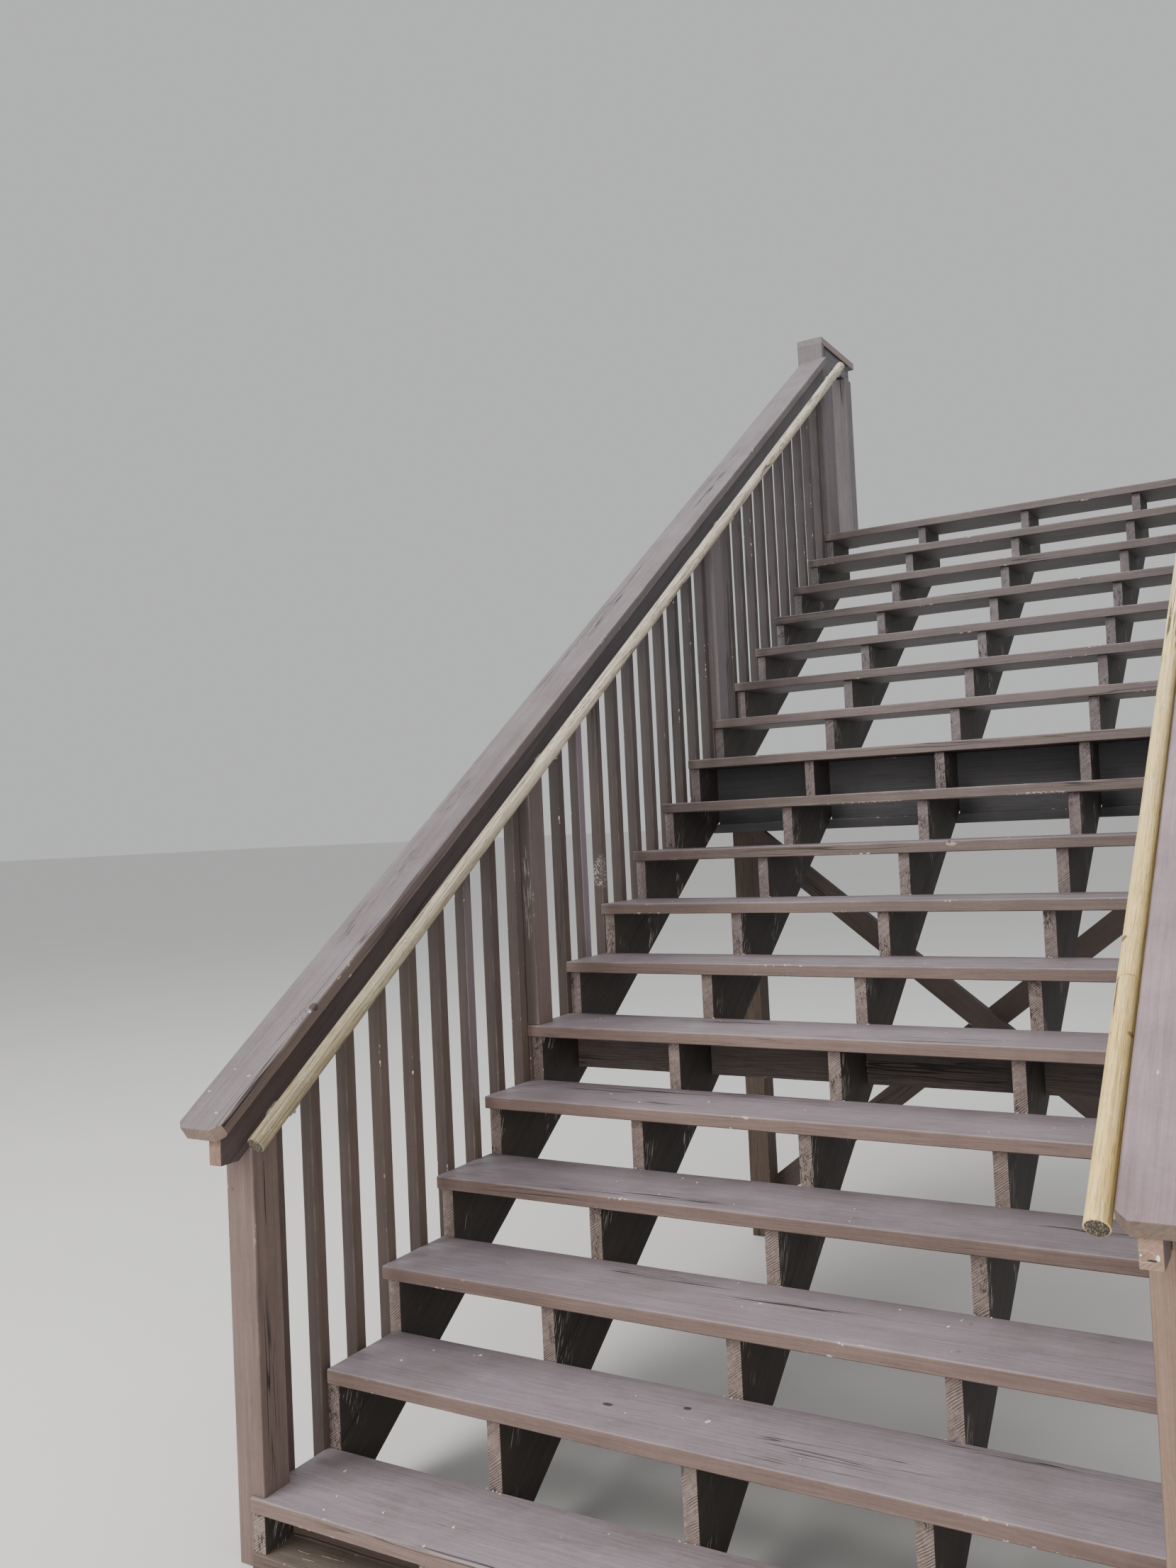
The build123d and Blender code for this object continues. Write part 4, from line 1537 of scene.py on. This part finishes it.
CAP_PAINT = PaintFinish(
    "cap paint", (0.106, 0.075, 0.066), (0.180, 0.153, 0.163), UNDERSIDE_PAINTED_SHADE, (0.175, 0.125, 0.095),
    high=(0.118, 0.106, 0.120), fade_and_sheen=0.85, checks=0.1, cracks=0.3, ink=0.22, brushed=0.3, gloss=0.36,
    flecks=0.4,
    marks=(
        Mark((-0.984, 0.084, 1.316), (0.015, 0.013, 0.014), (0.050, 0.034, 0.030), 0.95, 0.6),
        Mark((-0.985, 0.068, 1.304), (0.004, 0.003, 0.004), (0.60, 0.52, 0.44), 0.9, 0.4),
        Mark((-1.003, 0.048, 1.292), (0.022, 0.040, 0.030), (0.045, 0.032, 0.030), 0.9, 0.4, Spread.SCALES),
        Mark((-1.074, 0.387, 1.529), (0.022, 0.14, 0.12), DARK, 0.8, 0.3, Spread.CHECKS),
        Mark((-1.060, 0.560, 1.650), (0.030, 0.12, 0.10), DARK, 0.8, 0.3, Spread.CHECKS),
        Mark((-1.075, 0.850, 1.855), (0.025, 0.13, 0.10), DARK, 0.8, 0.3, Spread.CHECKS),
        Mark((-1.080, 1.75, 2.48), (0.020, 0.20, 0.15), DARK, 0.7, 0.3, Spread.CHECKS),
        Mark((-1.015, -0.121, 1.175), (0.006, 0.003, 0.004), WHITISH, 0.8, 0.5),
        Mark((-1.102, -0.168, 1.143), (0.005, 0.003, 0.004), WHITISH, 0.8, 0.5),
        Mark((-1.025, -0.220, 1.106), (0.005, 0.003, 0.004), WHITISH, 0.8, 0.5),
        Mark((-1.076, -0.106, 1.185), (0.003, 0.002, 0.003), WHITISH),
        Mark((1.018, 0.016, 1.270), (0.0022, 0.006, 0.005), WHITISH, 0.8, 0.5),
        # Painted light along the inner edge of the level cap at the top.
        Mark((-1.003, 4.530, 4.323), (0.004, 0.34, 0.04), (0.24, 0.19, 0.17), 0.85, 0.2),
    ),
)
# The right cap's lighter, pinker top is a painted sunlight.
CAP_PAINT_IN_PAINTED_SUN = replace(CAP_PAINT, name="right cap paint in painted sunlight", faded_and_sky_sheen=(0.265, 0.190, 0.208))
BLOCK_PAINT = PaintFinish(
    "blocking paint", (0.130, 0.106, 0.100), (0.12, 0.10, 0.09), (0.03, 0.026, 0.024), (0.10, 0.08, 0.068),
    high=(0.086, 0.075, 0.072), checks=0.5, cracks=0.6, ink=0.7, chips=0.5, gloss=0.65, scuffs=0.25,
    relief=0.0011,
)
# A darker, greyer copy of the blocking paint: a painted shade from the treads above the upper blocking and
# the bent's plate.
UPPER_BLOCK_PAINT_IN_PAINTED_SHADE = replace(
    BLOCK_PAINT, name="upper blocking paint in painted shade", coat=(0.078, 0.076, 0.081), high=(0.074, 0.074, 0.081),
    checks=0.1, cracks=0.15, ink=0.25,
)
BRACE_PAINT = PaintFinish(
    "brace paint", (0.075, 0.056, 0.048), (0.11, 0.09, 0.085), UNDERSIDE_PAINTED_SHADE, (0.10, 0.075, 0.06),
    high=(0.075, 0.06, 0.055), gloss=0.55,
)
POST_PAINT = PaintFinish(
    "bent post paint", (0.100, 0.070, 0.052), (0.12, 0.09, 0.075), UNDERSIDE_PAINTED_SHADE, (0.10, 0.08, 0.06),
    high=(0.10, 0.075, 0.06), rubbed_and_highlit=(0.28, 0.16, 0.08), checks=0.6, cracks=0.6, ink=0.7, chips=0.9,
    gloss=0.6,
)
SILL_PAINT = PaintFinish(
    "sill paint", (0.130, 0.095, 0.078), (0.175, 0.145, 0.120), UNDERSIDE_PAINTED_SHADE, (0.12, 0.09, 0.07),
    fade_and_sheen=0.9, checks=0.5, cracks=0.5, ink=0.5, chips=0.7, gloss=0.65, relief=0.001,
)
LEFT_DOWEL = DowelFinish(
    "left handrail wood", (0.25, 0.205, 0.105), (0.74, 0.66, 0.54), line=(0.085, 0.060, 0.034), silvering=0.2
)
# The right rail's bright colours are partly its pale wood and partly a painted sunlight.
RIGHT_DOWEL_PARTLY_PAINTED_SUN = DowelFinish(
    "right handrail wood partly in painted sunlight", (0.98, 0.69, 0.24), (0.94, 0.76, 0.42), line=(0.33, 0.21, 0.08), silvering=0.4,
    lined=0.42, scuffs=0.9,
    marks=(
        Mark((0.925, 0.413, 1.461), (0.03, 0.010, 0.010), (0.16, 0.09, 0.04), 0.9, 0.3),
        Mark((0.940, 0.188, 1.305), (0.03, 0.008, 0.008), (0.26, 0.15, 0.07), 0.8, 0.4),
    ),
)
ZINC = MetalFinish("plated bracket", (0.62, 0.60, 0.56))
PAINTED_HEADS = DryFinish("painted heads", (0.17, 0.13, 0.115), (0.09, 0.065, 0.055))
DULL_HEADS = DryFinish("dull nail heads", (0.16, 0.14, 0.14), (0.07, 0.055, 0.055))
FLAKE_PAINT = DryFinish("pale flakes", (0.80, 0.78, 0.74), (0.50, 0.47, 0.43), 0.006)
STRAW = DryFinish("dry straw", (0.50, 0.42, 0.27), (0.24, 0.18, 0.10))


def main() -> None:
    """Builds every sub-assembly in order."""
    logging.basicConfig(level=logging.INFO, format="%(message)s")
    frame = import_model()
    shop = Workshop(frame["nodes"])
    left_nails = ((-1.083, -0.091), (-1.033, -0.149))
    right_nails = ((1.008, 0.001), (1.005, 0.277), (1.007, 0.516))
    for assembly in (
        Studio(),
        Flight(shop),
        UnderFrame(shop),
        Guard(shop, "left", 400, NEWEL_PAINT, CAP_PAINT, left_nails),
        Guard(shop, "right", 500, NEWEL_PAINT_IN_PAINTED_SUN, CAP_PAINT_IN_PAINTED_SUN, right_nails),
        GraspRail(shop, "left", 61, LEFT_DOWEL, run_start=FRONT - 0.045, splice=1.518),
        GraspRail(shop, "right", 62, RIGHT_DOWEL_PARTLY_PAINTED_SUN, run_start=FRONT - 0.022, splice=0.325),
        Litter(shop),
    ):
        log.info("building the %s", type(assembly).__name__)
        assembly.build()


if __name__ == "__main__":
    main()
